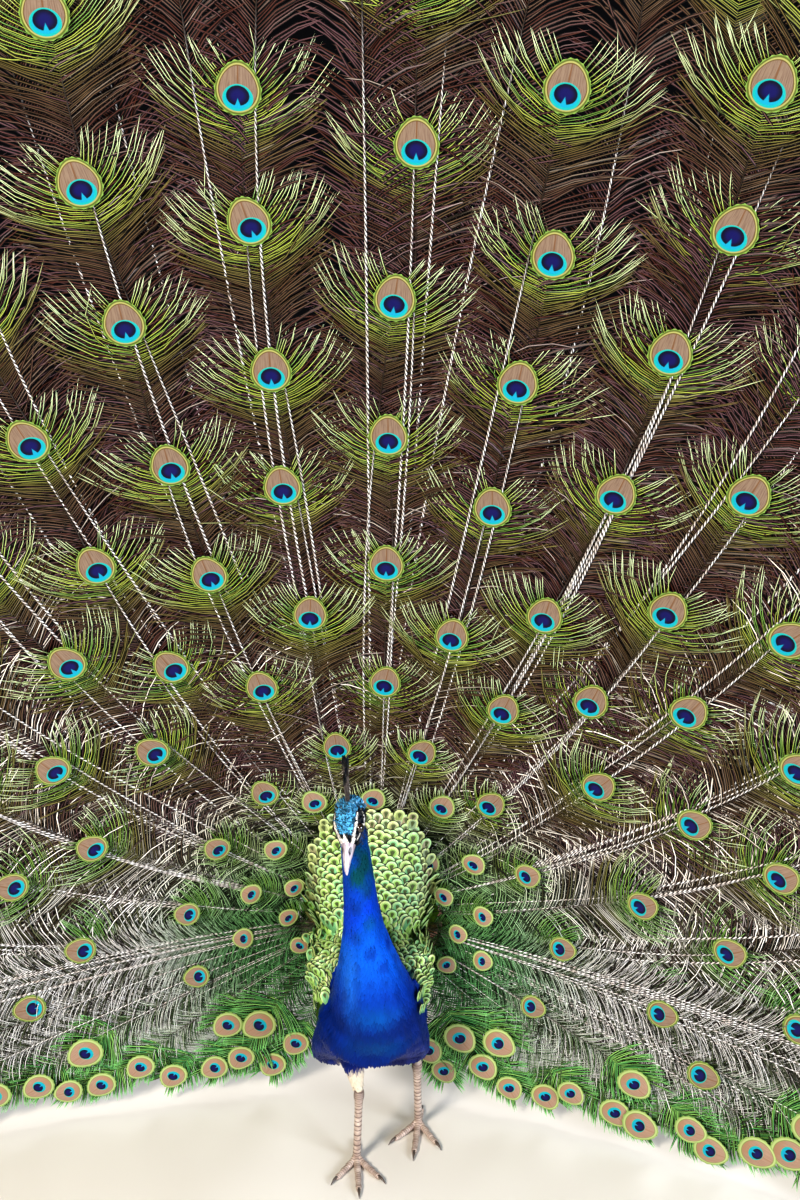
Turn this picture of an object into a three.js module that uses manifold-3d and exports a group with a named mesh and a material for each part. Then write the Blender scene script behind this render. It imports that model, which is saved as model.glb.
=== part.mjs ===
// A displaying male Indian peafowl, life size: millimetres, +Z up, the bird facing -Y.
// The bird is modelled on its own midline (x = 0) with its soles on z = 0, then moved so that
// the middle of its bounding box stands over the origin.
import * as THREE from "three";
import { mergeVertices } from "three/addons/utils/BufferGeometryUtils.js";
import Module from "manifold-3d";

const wasm = await Module();
wasm.setup();

// ---------- driving dimensions ----------
const GAP = 0.35; // thin cut between neighbouring pieces
const DEG = Math.PI / 180;
const X_AXIS = new THREE.Vector3(1, 0, 0);
const Y_AXIS = new THREE.Vector3(0, 1, 0);
const Z_AXIS = new THREE.Vector3(0, 0, 1);

// The train opens into a shallow dish around its root, rolled and turned a little to one side.
const TRAIN_ROOT = new THREE.Vector3(0, 80, 310);
const TRAIN_ROLL = 3 * DEG; // bird's left side lower
const TRAIN_YAW = 5 * DEG; // bird's left side further forward
const DISH_TOP = 0.13; // forward bend of a feather 1 m long, straight up
const DISH_SIDE = 0.24; // what a level feather bends more
const DISH_POWER = 1.4;
const TRAIN_TOP = 1450; // reach of the longest feathers, straight up
const TRAIN_SIDE = 1110; // reach of the level ones
const TRAIN_HOLE = 100; // where the feathers leave the rump
const TRAIN_THICK = 1.2;
const RIM_REACH = 1200; // how far out the columns' lines are read to set the rim
const RACHIS_RISE = 1.4;
const COLUMNS_EACH_SIDE = 9; // feather columns left and right of the middle one
const COLUMN_ANGLE = 13.2 * DEG; // at the root, closing up by COLUMN_CLOSE per metre
const COLUMN_CLOSE = 3.4 * DEG;
const RIM_NOTCH = 75; // depth of the V between two fish-tail tips
const EDGE_TIP_HEIGHT = 26; // the lowest fringe hangs just clear of the floor
const EDGE_NOTCH_HEIGHT = 52;
const EDGE_FIRST = 98; // first and last feather of the lower edge, from the midline
const EDGE_LAST = 1085;
const EDGE_FEATHERS = 20;

const TAIL_REACH = 430; // the stiff tail behind the train
const TAIL_FEATHERS = 14;
const TAIL_SPREAD = 84 * DEG;
const TAIL_BEHIND = 20;

const HEAD_CENTRE = new THREE.Vector3(-22.5, -144, 584);
const HEAD_PITCH = 42 * DEG; // bill below the horizon
const HEAD_TURN = 8 * DEG; // towards the bird's right
const HEAD_ROLL = 17 * DEG; // crown towards the bird's right
const EYE_RADIUS = 6.2;
const CREST_SHAFTS = 8;
const CREST_LENGTH = 60;
const CREST_SHORTEST = 0.86; // share of that length at both ends of the fan
const CREST_FRONT = -24 * DEG; // lean of the foremost shaft, ahead of upright
const CREST_SPAN = 72 * DEG;

const PRIMARY_COUNT = 6; // flight feathers that droop behind the fan on each side
const PRIMARY_ROOT = [69, 118, 262];
const PRIMARY_FIRST_DROOP = 12 * DEG;
const PRIMARY_DROOP_SPAN = 62 * DEG;
const PRIMARY_SHORTEST = 150;
const PRIMARY_LONGER = 50;
const PRIMARY_NOTCH = 0.88; // share of the length between two tips
const PRIMARY_THICK = 1.6;

const SHANK_RADIUS = 5.4;
const TOE_RADIUS = 4.6;
const FOOT_TOP = 11; // where the toes' pad meets the shank

// Both legs: where the foot's joint, the hock and the top of the thigh stand, and how the toes point.
const LEGS = {
  right: {
    foot: [-20, -94],
    hock: [-15, -112, 134],
    knee: [-36, -66, 232],
    heading: 4 * DEG,
  },
  left: {
    foot: [69, -18],
    hock: [66, -71, 151],
    knee: [46, -34, 238],
    heading: -6 * DEG,
  },
};

const COLOURS = {
  blue: 0x1238b8,
  crown: 0x2a8fd0,
  bill: 0xb9b2ad,
  eye: 0x1c0f08,
  crest: 0x16233f,
  scale: 0x9bb02c,
  wing: 0xb59a72,
  primary: 0x9a4d22,
  thigh: 0xd8c39a,
  leg: 0x8d7a6e,
  tail: 0x6b5d50,
  down: 0x3a332c,
  train: 0x4d4a24,
  edge: 0x2e7a35,
};

// ---------- solids ----------
function outward(geometry) {
  const p = geometry.getAttribute("position");
  const index = geometry.index.array;
  const [a, b, c] = [new THREE.Vector3(), new THREE.Vector3(), new THREE.Vector3()];
  let volume = 0;
  for (let i = 0; i < index.length; i += 3) {
    a.fromBufferAttribute(p, index[i]);
    b.fromBufferAttribute(p, index[i + 1]);
    c.fromBufferAttribute(p, index[i + 2]);
    volume += a.dot(b.cross(c));
  }
  if (volume < 0) {
    for (let i = 0; i < index.length; i += 3) {
      [index[i + 1], index[i + 2]] = [index[i + 2], index[i + 1]];
    }
  }
  return geometry;
}

function meshFrom(points, triangles) {
  const geometry = new THREE.BufferGeometry();
  const flat = points.flatMap((p) => [p.x, p.y, p.z]);
  geometry.setAttribute("position", new THREE.Float32BufferAttribute(flat, 3));
  geometry.setIndex(triangles);
  return outward(geometry);
}

// A closed skin over rings of points, with a fan over each end.
function skinOver(rings) {
  const sides = rings[0].length;
  const points = rings.flat();
  const triangles = [];
  for (let r = 0; r + 1 < rings.length; r++) {
    for (let s = 0; s < sides; s++) {
      const a = r * sides + s;
      const b = r * sides + ((s + 1) % sides);
      triangles.push(a, b, b + sides, a, b + sides, a + sides);
    }
  }
  for (const [start, flip] of [[0, true], [points.length - sides, false]]) {
    const middle = new THREE.Vector3();
    for (let s = 0; s < sides; s++) middle.addScaledVector(points[start + s], 1 / sides);
    points.push(middle);
    for (let s = 0; s < sides; s++) {
      const pair = [start + s, start + ((s + 1) % sides)];
      triangles.push(...(flip ? pair.reverse() : pair), points.length - 1);
    }
  }
  return meshFrom(points, triangles);
}

// A smooth body through stations [x, y, z, half width, half height up, half height down].
// Its rings lie in the plane of across and up; grow fattens it all round to cut a clear gap.
function body(stations, across, up, samples, sides, grow = 0) {
  const line = new THREE.CatmullRomCurve3(stations.map((s) => new THREE.Vector3(s[0], s[1], s[2])));
  const girth = new THREE.CatmullRomCurve3(stations.map((s) => new THREE.Vector3(s[3], s[4], s[5])));
  const rings = [];
  for (let i = 0; i <= samples; i++) {
    const t = i / samples;
    const centre = line.getPoint(t);
    if (i === 0) centre.addScaledVector(line.getTangent(0), -grow);
    if (i === samples) centre.addScaledVector(line.getTangent(1), grow);
    const g = girth.getPoint(t);
    const ring = [];
    for (let s = 0; s < sides; s++) {
      const turn = (s / sides) * 2 * Math.PI;
      const height = Math.sin(turn) > 0 ? g.y : g.z;
      ring.push(
        centre
          .clone()
          .addScaledVector(across, (Math.max(g.x, 0.4) + grow) * Math.cos(turn))
          .addScaledVector(up, (Math.max(height, 0.4) + grow) * Math.sin(turn)),
      );
    }
    rings.push(ring);
  }
  return skinOver(rings);
}

// A thin closed plate over a grid of points: its front is the grid, its back lies thick behind it.
function plate(grid, thick) {
  const rows = grid.length;
  const columns = grid[0].length;
  const front = grid.flat();
  const points = [...front, ...front.map((p) => p.clone().addScaledVector(Y_AXIS, thick))];
  const triangles = [];
  const at = (i, j, side) => side * rows * columns + i * columns + j;
  for (let i = 0; i + 1 < rows; i++) {
    for (let j = 0; j + 1 < columns; j++) {
      const cell = [[i, j], [i + 1, j], [i + 1, j + 1], [i, j + 1]];
      for (const side of [0, 1]) {
        const [a, b, c, d] = cell.map(([p, q]) => at(p, q, side));
        if (side) triangles.push(a, b, c, a, c, d);
        else triangles.push(a, c, b, a, d, c);
      }
    }
  }
  const rim = [];
  for (let j = 0; j + 1 < columns; j++) rim.push([0, j]);
  for (let i = 0; i + 1 < rows; i++) rim.push([i, columns - 1]);
  for (let j = columns - 1; j > 0; j--) rim.push([rows - 1, j]);
  for (let i = rows - 1; i > 0; i--) rim.push([i, 0]);
  rim.forEach(([i, j], n) => {
    const [k, l] = rim[(n + 1) % rim.length];
    triangles.push(at(i, j, 0), at(k, l, 1), at(k, l, 0), at(i, j, 0), at(i, j, 1), at(k, l, 1));
  });
  return meshFrom(points, triangles);
}

function solid(geometry) {
  const bare = geometry.clone();
  bare.deleteAttribute("normal");
  bare.deleteAttribute("uv");
  const merged = mergeVertices(bare, 1e-4);
  return new wasm.Manifold(
    new wasm.Mesh({
      numProp: 3,
      vertProperties: merged.getAttribute("position").array,
      triVerts: new Uint32Array(merged.index.array),
    }),
  );
}

function geometryOf(manifold) {
  const mesh = manifold.getMesh();
  const geometry = new THREE.BufferGeometry();
  geometry.setAttribute("position", new THREE.BufferAttribute(mesh.vertProperties, 3));
  geometry.setIndex(new THREE.BufferAttribute(mesh.triVerts, 1));
  return geometry;
}

const joined = (parts) => parts.map(solid).reduce((all, one) => all.add(one));
const cutBy = (target, cutters) => cutters.reduce((left, one) => left.subtract(one), target);
// The main body of a cut piece, without the slivers that a cut can leave.
const largest = (piece) => piece.decompose().reduce((a, b) => (b.volume() > a.volume() ? b : a));

function slab(low, high) {
  const reach = 4000;
  const box = new THREE.BoxGeometry(reach, reach, high - low);
  box.translate(0, 0, (low + high) / 2);
  return solid(box);
}

// ---------- trunk, neck and head ----------
const TRUNK_STATIONS = [
  [0, -160, 238, 34, 26, 22],
  [0, -144, 242, 60, 46, 41],
  [0, -108, 250, 77, 62, 72],
  [0, -62, 262, 76, 76, 86],
  [0, -16, 274, 70, 75, 80],
  [0, 28, 288, 58, 59, 62],
  [0, 64, 300, 45, 46, 48],
  [0, 92, 314, 28, 30, 30],
  [0, 108, 326, 10, 12, 12],
];
const trunkShape = (grow) => body(TRUNK_STATIONS, X_AXIS, Z_AXIS, 11, 14, grow);

// Level slices of the breast and neck, from the belly up: [x, y, z, half width, back, front].
const NECK_STATIONS = [
  [-2, -84, 159, 54, 26, 5],
  [-1, -84, 165, 75, 44, 9],
  [0, -84, 176, 84, 54, 16],
  [1, -84, 192, 86, 60, 38],
  [2, -85, 210, 84, 63, 60],
  [3, -88, 230, 80, 65, 73],
  [5, -92, 254, 74, 63, 74],
  [6, -98, 282, 65, 57, 69],
  [5, -104, 314, 56, 51, 61],
  [1, -111, 348, 46, 44, 50],
  [-3, -117, 388, 36, 36, 41],
  [-8, -122, 432, 27.5, 30, 32],
  [-11, -126, 476, 24.5, 26, 28],
  [-15, -128, 524, 23, 24, 25],
  [-18, -130, 562, 19, 20, 19],
  [-19, -133, 574, 13, 14, 12],
];
const neckShape = (grow) => body(NECK_STATIONS, X_AXIS, Y_AXIS, 17, 14, grow);
const NECK_PARTINGS = [352, 452]; // heights of the cuts between trunk, lower and upper neck

// The head's own axes: ahead along the bill, aside to the bird's left, above to the crown.
const AHEAD = new THREE.Vector3(0, -1, 0)
  .applyAxisAngle(X_AXIS, HEAD_PITCH)
  .applyAxisAngle(Z_AXIS, -HEAD_TURN);
const ASIDE = X_AXIS.clone().applyAxisAngle(Z_AXIS, -HEAD_TURN).applyAxisAngle(AHEAD, HEAD_ROLL);
const ABOVE = ASIDE.clone().cross(AHEAD).negate();
function onHead(ahead, above, aside = 0) {
  return HEAD_CENTRE.clone()
    .addScaledVector(AHEAD, ahead)
    .addScaledVector(ABOVE, above)
    .addScaledVector(ASIDE, aside);
}
// Stations along the head or bill: [ahead, above, half width, up, down].
function headBody(stations, samples, sides, grow = 0) {
  const placed = stations.map(([ahead, above, ...girth]) => [...onHead(ahead, above), ...girth]);
  return body(placed, ASIDE, ABOVE, samples, sides, grow);
}
const HEAD_STATIONS = [
  [-33, -2, 2, 2, 2],
  [-29, -1, 11, 11, 11],
  [-20, 0, 18.5, 17, 17],
  [-8, 0, 22.3, 20.6, 19.5],
  [4, 0, 22, 20.6, 18.5],
  [14, -1, 18.5, 17.4, 16],
  [23, -3, 15, 13, 12.5],
  [30, -5, 11.4, 9.4, 9],
];
const BILL_GAPE = -6.6; // height of the line between the two halves of the bill
const UPPER_BILL_STATIONS = [
  [30 + GAP, BILL_GAPE, 9.8, 9.4, 0.4],
  [38, BILL_GAPE - 0.4, 7.8, 8.6, 0.4],
  [47, BILL_GAPE - 1, 5.9, 7.4, 0.4],
  [56, BILL_GAPE - 1.8, 4.2, 5.4, 0.5],
  [63, BILL_GAPE - 3, 2.6, 3.2, 1.2],
  [67, BILL_GAPE - 4.6, 1.1, 1.2, 1.4],
];
const LOWER_BILL_STATIONS = [
  [30 + GAP, BILL_GAPE - 0.4 - 2 * GAP, 8.7, 0.2, 5],
  [39, BILL_GAPE - 0.9 - 2 * GAP, 6.7, 0.2, 4.2],
  [48, BILL_GAPE - 1.6 - 2 * GAP, 4.8, 0.2, 3.4],
  [58, BILL_GAPE - 3 - 2 * GAP, 2.4, 0.2, 1.9],
];
const headShape = (grow) => headBody(HEAD_STATIONS, 10, 14, grow);
function eyeBall(side, grow) {
  const ball = new THREE.SphereGeometry(EYE_RADIUS + grow, 10, 8);
  ball.rotateZ(Math.PI / 2);
  const at = onHead(9, 1.5, side * 15.6);
  return solid(ball.translate(at.x, at.y, at.z));
}

// Bare shafts fan out in the head's own plane from one root, each ending in a flat drop.
function crest() {
  const root = onHead(-17, 15.5, 4.5);
  const shafts = [];
  for (let i = 0; i < CREST_SHAFTS; i++) {
    const share = i / (CREST_SHAFTS - 1);
    const lean = CREST_FRONT + CREST_SPAN * share;
    const way = Z_AXIS.clone().applyAxisAngle(X_AXIS, -lean);
    const edge = new THREE.Vector3().crossVectors(way, X_AXIS);
    const full = CREST_SHORTEST + (1 - CREST_SHORTEST) * Math.sin(Math.PI * share);
    const length = CREST_LENGTH * full;
    const stations = [
      [0, 1.3],
      [0.35, 0.8],
      [0.66, 0.8],
      [0.8, 3.2],
      [0.92, 4.4],
      [1, 1],
    ].map(([along, wide]) => {
      const at = root.clone().addScaledVector(way, length * along);
      return [at.x, at.y, at.z, wide, 0.6, 0.6];
    });
    shafts.push(body(stations, edge, X_AXIS, 4, 4));
  }
  return joined(shafts);
}

// ---------- back shield, wings and under-tail ----------
const SHIELD_STATIONS = [
  [0, 6, 300, 58, 26, 38],
  [0, 16, 330, 78, 28, 44],
  [0, 28, 368, 85, 24, 38],
  [0, 38, 408, 81, 20, 30],
  [0, 46, 442, 66, 16, 21],
  [0, 50, 466, 44, 12, 14],
  [0, 53, 481, 14, 5, 6],
];
const shieldShape = () => body(SHIELD_STATIONS, X_AXIS, Y_AXIS, 9, 14);

// Stations of the left wing: [x, y, z, half thickness, up, down]; the right one is its mirror.
const WING_STATIONS = [
  [66, -84, 294, 5, 12, 14],
  [72, -56, 288, 9, 34, 36],
  [73, -12, 278, 10, 44, 50],
  [69, 38, 268, 10, 44, 50],
  [66, 84, 262, 9, 36, 44],
  [66, 124, 262, 6, 25, 32],
  [67, 150, 266, 2, 8, 10],
];
const sided = (stations, side) => stations.map(([x, ...rest]) => [side * x, ...rest]);
const wingShape = (side, grow) => body(sided(WING_STATIONS, side), X_AXIS, Z_AXIS, 9, 12, grow);

// The flight feathers droop behind the fan as one blade with stepped tips.
const PRIMARY_STEPS = [0.16, 0.4, 0.7, 0.9, 1];
function primaries(side) {
  const [x, y, z] = PRIMARY_ROOT;
  const grid = [];
  for (let i = 0; i <= 2 * PRIMARY_COUNT; i++) {
    const share = i / (2 * PRIMARY_COUNT);
    const droop = PRIMARY_FIRST_DROOP + PRIMARY_DROOP_SPAN * share;
    const full = PRIMARY_SHORTEST + PRIMARY_LONGER * Math.sin(Math.PI * (0.25 + 0.5 * share));
    const length = full * (i % 2 ? 1 : PRIMARY_NOTCH);
    grid.push(
      PRIMARY_STEPS.map((along) => {
        const reach = length * along;
        const out = 0.18 + 0.2 * share * along; // the lower feathers stand further out
        return new THREE.Vector3(
          side * (x + reach * out),
          y + reach * Math.cos(droop),
          z - reach * Math.sin(droop),
        );
      }),
    );
  }
  return thicken(plate(grid, 0), grid.flat().length, side);
}
// Moves a plate's second side out along X, for blades that stand front to back.
function thicken(geometry, half, side) {
  const p = geometry.getAttribute("position");
  for (let i = half; i < 2 * half; i++) p.setX(i, p.getX(i) + side * PRIMARY_THICK);
  return outward(geometry);
}

// Loose down behind the tail root, from the vent up to the back of the tail feathers.
const DOWN_STATIONS = [
  [0, 78, 246, 20, 16, 14],
  [0, 94, 266, 42, 24, 28],
  [0, 112, 302, 55, 24, 24],
  [0, 125, 344, 56, 20, 15],
  [0, 131, 384, 46, 15, 13],
  [0, 130, 416, 26, 9, 10],
  [0, 128, 430, 8, 4, 4],
];
const downShape = () => body(DOWN_STATIONS, X_AXIS, Y_AXIS, 9, 14);

// ---------- train and tail ----------
// A point of the open train from its place on the flat fan (aside, up), and a step behind it.
function fanPoint(aside, up, behind = 0) {
  const reach = Math.hypot(aside, up) / 1000;
  const level = reach ? (aside / 1000 / reach) ** 2 : 0;
  const forward = 1000 * (DISH_TOP + DISH_SIDE * level) * reach ** DISH_POWER;
  return new THREE.Vector3(aside, behind - forward, up)
    .applyAxisAngle(Y_AXIS, TRAIN_ROLL)
    .applyAxisAngle(Z_AXIS, -TRAIN_YAW)
    .add(TRAIN_ROOT);
}
const polar = (angle, reach, behind) =>
  fanPoint(reach * Math.sin(angle), reach * Math.cos(angle), behind);
const trainReach = (angle) => TRAIN_SIDE + (TRAIN_TOP - TRAIN_SIDE) * Math.cos(angle) ** 2;
const columnAngle = (column, reach) => column * (COLUMN_ANGLE - (COLUMN_CLOSE * reach) / 1000);

const SECTOR_LINES = 4; // cells across a sector: a notch, a tip, a notch, a tip, a notch
const SECTOR_STEPS = 4;
function trainSector(column) {
  const grid = [];
  for (let i = 0; i <= SECTOR_LINES; i++) {
    const line = column - 0.5 + i / SECTOR_LINES;
    const tip = i % 2 === 1;
    const rim = trainReach(columnAngle(line, RIM_REACH)) - (tip ? 0 : RIM_NOTCH);
    const row = [];
    for (let j = 0; j <= SECTOR_STEPS; j++) {
      const reach = TRAIN_HOLE + (rim - TRAIN_HOLE) * (j / SECTOR_STEPS);
      const trim = ((i === 0) - (i === SECTOR_LINES)) * (GAP / 2 / reach);
      const rise = tip && j < SECTOR_STEPS ? RACHIS_RISE : 0;
      row.push(polar(columnAngle(line, reach) + trim, reach, -rise));
    }
    grid.push(row);
  }
  return solid(plate(grid, TRAIN_THICK));
}

// The lower edge: feather tips in one level line, from the body out to the corner of the fan.
const EDGE_STEPS = 1;
function edgeHeight(aside, height) {
  return (height - TRAIN_ROOT.z + aside * Math.sin(TRAIN_ROLL)) / Math.cos(TRAIN_ROLL);
}
function trainEdge(side, first, last) {
  const grid = [];
  for (let i = 2 * first; i <= 2 * last; i++) {
    const share = i / (2 * EDGE_FEATHERS);
    const aside = EDGE_FIRST + (EDGE_LAST - EDGE_FIRST) * share;
    const trim = ((i === 2 * first) - (i === 2 * last)) * GAP;
    const reach = TRAIN_HOLE + 4 + (TRAIN_SIDE - RIM_NOTCH - TRAIN_HOLE - 8) * share + trim;
    const angle = columnAngle(COLUMNS_EACH_SIDE + 0.5, reach) + GAP / reach;
    const top = [side * reach * Math.sin(angle), reach * Math.cos(angle)];
    const foot = i % 2 ? EDGE_TIP_HEIGHT : EDGE_NOTCH_HEIGHT;
    const low = [side * (aside + trim), edgeHeight(side * aside, foot)];
    const row = [];
    for (let j = 0; j <= EDGE_STEPS; j++) {
      const t = j / EDGE_STEPS;
      row.push(fanPoint(top[0] + (low[0] - top[0]) * t, top[1] + (low[1] - top[1]) * t));
    }
    grid.push(row);
  }
  return solid(plate(grid, TRAIN_THICK));
}

// The boss of flesh and feather roots that carries train and tail.
const BASE_SECTIONS = [[-4, 1], [6, 1], [16, 0.95], [26, 0.6]]; // [behind, share of the rim]
const BASE_SIDES = 14;
function baseShape(grow) {
  const rim = TRAIN_HOLE - GAP + grow;
  const rings = BASE_SECTIONS.map(([behind, share]) => {
    const ring = [];
    for (let s = 0; s < BASE_SIDES; s++) {
      const turn = (s / BASE_SIDES) * 2 * Math.PI;
      const flattened = Math.cos(turn) < -0.6 ? 0.75 : 1; // narrower where the belly passes below
      ring.push(polar(turn, rim * share * flattened, behind + Math.sign(behind) * grow));
    }
    return ring;
  });
  return solid(skinOver(rings));
}

const TAIL_STEPS = 2;
const TAIL_START = 70; // inside the boss, which trims it
const TAIL_LAP = 4; // every second feather lies this much behind its neighbours
const TAIL_NOTCH = 22;
function tailFan() {
  const grid = [];
  for (let i = 0; i <= 2 * TAIL_FEATHERS; i++) {
    const angle = TAIL_SPREAD * (i / TAIL_FEATHERS - 1);
    const length = TAIL_REACH * (0.9 + 0.1 * Math.cos(angle)) - (i % 2 ? 0 : TAIL_NOTCH);
    const row = [];
    for (let j = 0; j <= TAIL_STEPS; j++) {
      const reach = TAIL_START + (length - TAIL_START) * (j / TAIL_STEPS);
      row.push(polar(angle, reach, TAIL_BEHIND + TAIL_LAP * (i % 2)));
    }
    grid.push(row);
  }
  return solid(plate(grid, TRAIN_THICK));
}

// ---------- legs ----------
const TOES = [
  { spread: -38 * DEG, length: 50 },
  { spread: 0, length: 66 },
  { spread: 36 * DEG, length: 52 },
  { spread: 176 * DEG, length: 30 },
];
const CLAW_LENGTH = 13;
function foot(leg) {
  const [x, y] = leg.foot;
  const toes = TOES.map(({ spread, length }) => {
    const way = new THREE.Vector3(0, -1, 0).applyAxisAngle(Z_AXIS, leg.heading + spread);
    const across = way.clone().cross(Z_AXIS);
    const stations = [
      [0, 6.4, 1.22, 5.4],
      [0.22, 4.6, 1.07, 5.2],
      [0.45, 4.4, 0.91, 4.8],
      [0.62, 4.2, 0.96, 4.6],
      [0.86, 3.8, 0.8, 4.2],
      [1, 3.6, 0.65, 3.8],
    ].map(([along, height, wide, low]) => {
      const at = new THREE.Vector3(x, y, height).addScaledVector(way, length * along);
      return [...at, wide * TOE_RADIUS, low, low];
    });
    const claw = [
      [-3, 4.4, 2.3, 2.2],
      [CLAW_LENGTH * 0.5, 4.6, 1.7, 1.9],
      [CLAW_LENGTH, 1.4, 0.6, 0.7],
    ].map(([past, height, wide, tall]) => {
      const at = new THREE.Vector3(x, y, height).addScaledVector(way, length + past);
      return [...at, wide, tall, tall];
    });
    return joined([body(stations, across, Z_AXIS, 4, 6), body(claw, across, Z_AXIS, 2, 4)]);
  });
  const pad = solid(
    body([[x, y, -1, 8, 8, 9], [x, y, 6, 8, 8, 9], [x, y, FOOT_TOP, 6, 6, 7]], X_AXIS, Y_AXIS, 2, 8),
  );
  const whole = toes.reduce((all, toe) => all.add(toe), pad);
  return whole.intersect(slab(0, FOOT_TOP));
}

function shank(leg) {
  const [fx, fy] = leg.foot;
  const [hx, hy, hz] = leg.hock;
  const low = FOOT_TOP + GAP;
  const at = (t) => [fx + (hx - fx) * t, fy + (hy - fy) * t, low + (hz - low) * t];
  const r = SHANK_RADIUS;
  const stations = [
    [...at(0), r + 0.6, r + 1.4, r + 1],
    [...at(0.15), r - 0.2, r + 0.6, r + 0.4],
    [...at(0.5), r - 0.4, r + 0.4, r + 0.2],
    [...at(0.85), r, r + 1, r + 0.8],
    [...at(1), r + 1.8, r + 3, r + 2.4],
  ];
  const root = at(0.36);
  const spur = [
    [root[0], root[1], root[2], 3, 3, 3],
    [root[0], root[1] + 12, root[2] + 1, 2.4, 2.4, 2.4],
    [root[0], root[1] + 22, root[2] + 4, 0.8, 0.8, 0.8],
  ];
  return joined([body(stations, X_AXIS, Y_AXIS, 6, 10), body(spur, X_AXIS, Z_AXIS, 3, 6)]);
}

function thighShape(leg) {
  const [hx, hy, hz] = leg.hock;
  const [kx, ky, kz] = leg.knee;
  const at = (t) => [hx + (kx - hx) * t, hy + (ky - hy) * t, hz + GAP + (kz - hz) * t];
  const stations = [
    [...at(0), 8.4, 9.4, 9],
    [...at(0.22), 14, 15, 14],
    [...at(0.5), 24, 26, 24],
    [...at(0.8), 32, 36, 33],
    [...at(1), 30, 34, 30],
  ];
  return solid(body(stations, X_AXIS, Y_AXIS, 7, 14));
}

// ---------- the bird ----------
const bird = new THREE.Group();
function place(name, shape, colour, roughness = 0.7) {
  const material = new THREE.MeshStandardMaterial({ color: colour, roughness, metalness: 0 });
  const mesh = new THREE.Mesh(geometryOf(largest(shape)), material);
  mesh.name = name;
  bird.add(mesh);
}

const flesh = joined([trunkShape(0), neckShape(0)]);
const fleshGrown = joined([trunkShape(GAP), neckShape(GAP)]);
const head = solid(headShape(0));
const headGrown = solid(headShape(GAP));
const [LOW_CUT, HIGH_CUT] = NECK_PARTINGS;
const CROWN_HEIGHT = 1000; // above all flesh
place("trunk", flesh.intersect(slab(0, LOW_CUT)), COLOURS.blue);
place("neck_lower", flesh.intersect(slab(LOW_CUT + GAP, HIGH_CUT)), COLOURS.blue);
const upperNeck = flesh.intersect(slab(HIGH_CUT + GAP, CROWN_HEIGHT)).subtract(headGrown);
place("neck_upper", upperNeck, COLOURS.blue);

const eyeHoles = [eyeBall(-1, GAP), eyeBall(1, GAP)];
const crestShape = crest();
place("head", cutBy(head, eyeHoles), COLOURS.crown);
place("bill_upper", solid(headBody(UPPER_BILL_STATIONS, 7, 10)), COLOURS.bill, 0.4);
place("bill_lower", solid(headBody(LOWER_BILL_STATIONS, 5, 10)), COLOURS.bill, 0.4);
place("eye_right", eyeBall(-1, 0), COLOURS.eye, 0.1);
place("eye_left", eyeBall(1, 0), COLOURS.eye, 0.1);
place("crest", crestShape.subtract(headGrown), COLOURS.crest);

for (const [name, side] of [["right", -1], ["left", 1]]) {
  place("wing_" + name, solid(wingShape(side, 0)).subtract(fleshGrown), COLOURS.wing);
}
const wingsGrown = [-1, 1].map((side) => solid(wingShape(side, GAP)));
const core = [fleshGrown, ...wingsGrown];
place("train_base", cutBy(baseShape(0), core), COLOURS.scale);
place("back_shield", cutBy(solid(shieldShape()), core), COLOURS.scale);
core.push(baseShape(GAP));
place("tail", cutBy(tailFan(), core), COLOURS.tail);
place("undertail", cutBy(solid(downShape()), core), COLOURS.down);
for (const [name, side] of [["right", -1], ["left", 1]]) {
  place("primaries_" + name, cutBy(solid(primaries(side)), wingsGrown), COLOURS.primary);
}

for (const name of ["right", "left"]) {
  const leg = LEGS[name];
  place("thigh_" + name, cutBy(thighShape(leg), core), COLOURS.thigh);
  place("shank_" + name, shank(leg), COLOURS.leg);
  place("foot_" + name, foot(leg), COLOURS.leg);
}

for (let column = -COLUMNS_EACH_SIDE; column <= COLUMNS_EACH_SIDE; column++) {
  const side = column < 0 ? "right" : "left";
  const name = column ? "train_" + side + "_" + Math.abs(column) : "train_middle";
  place(name, trainSector(column), COLOURS.train);
}
for (const [name, side] of [["right", -1], ["left", 1]]) {
  const half = EDGE_FEATHERS / 2;
  place("train_edge_" + name + "_inner", trainEdge(side, 0, half), COLOURS.edge);
  place("train_edge_" + name + "_outer", trainEdge(side, half, EDGE_FEATHERS), COLOURS.edge);
}

const bounds = new THREE.Box3().setFromObject(bird, true);
const middle = bounds.getCenter(new THREE.Vector3());
bird.position.set(-middle.x, -middle.y, 0);

export default bird;
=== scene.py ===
# A displaying peacock, life size, for a museum shelf: metres, +Z up, the bird facing -Y.
from functools import partial
from math import atan2, cos, hypot, pi, radians, sin

import bmesh
import bpy
import numpy as np
from bpy.props import FloatProperty, FloatVectorProperty, IntProperty, PointerProperty
from mathutils import Matrix, Vector
from mathutils.bvhtree import BVHTree


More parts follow.
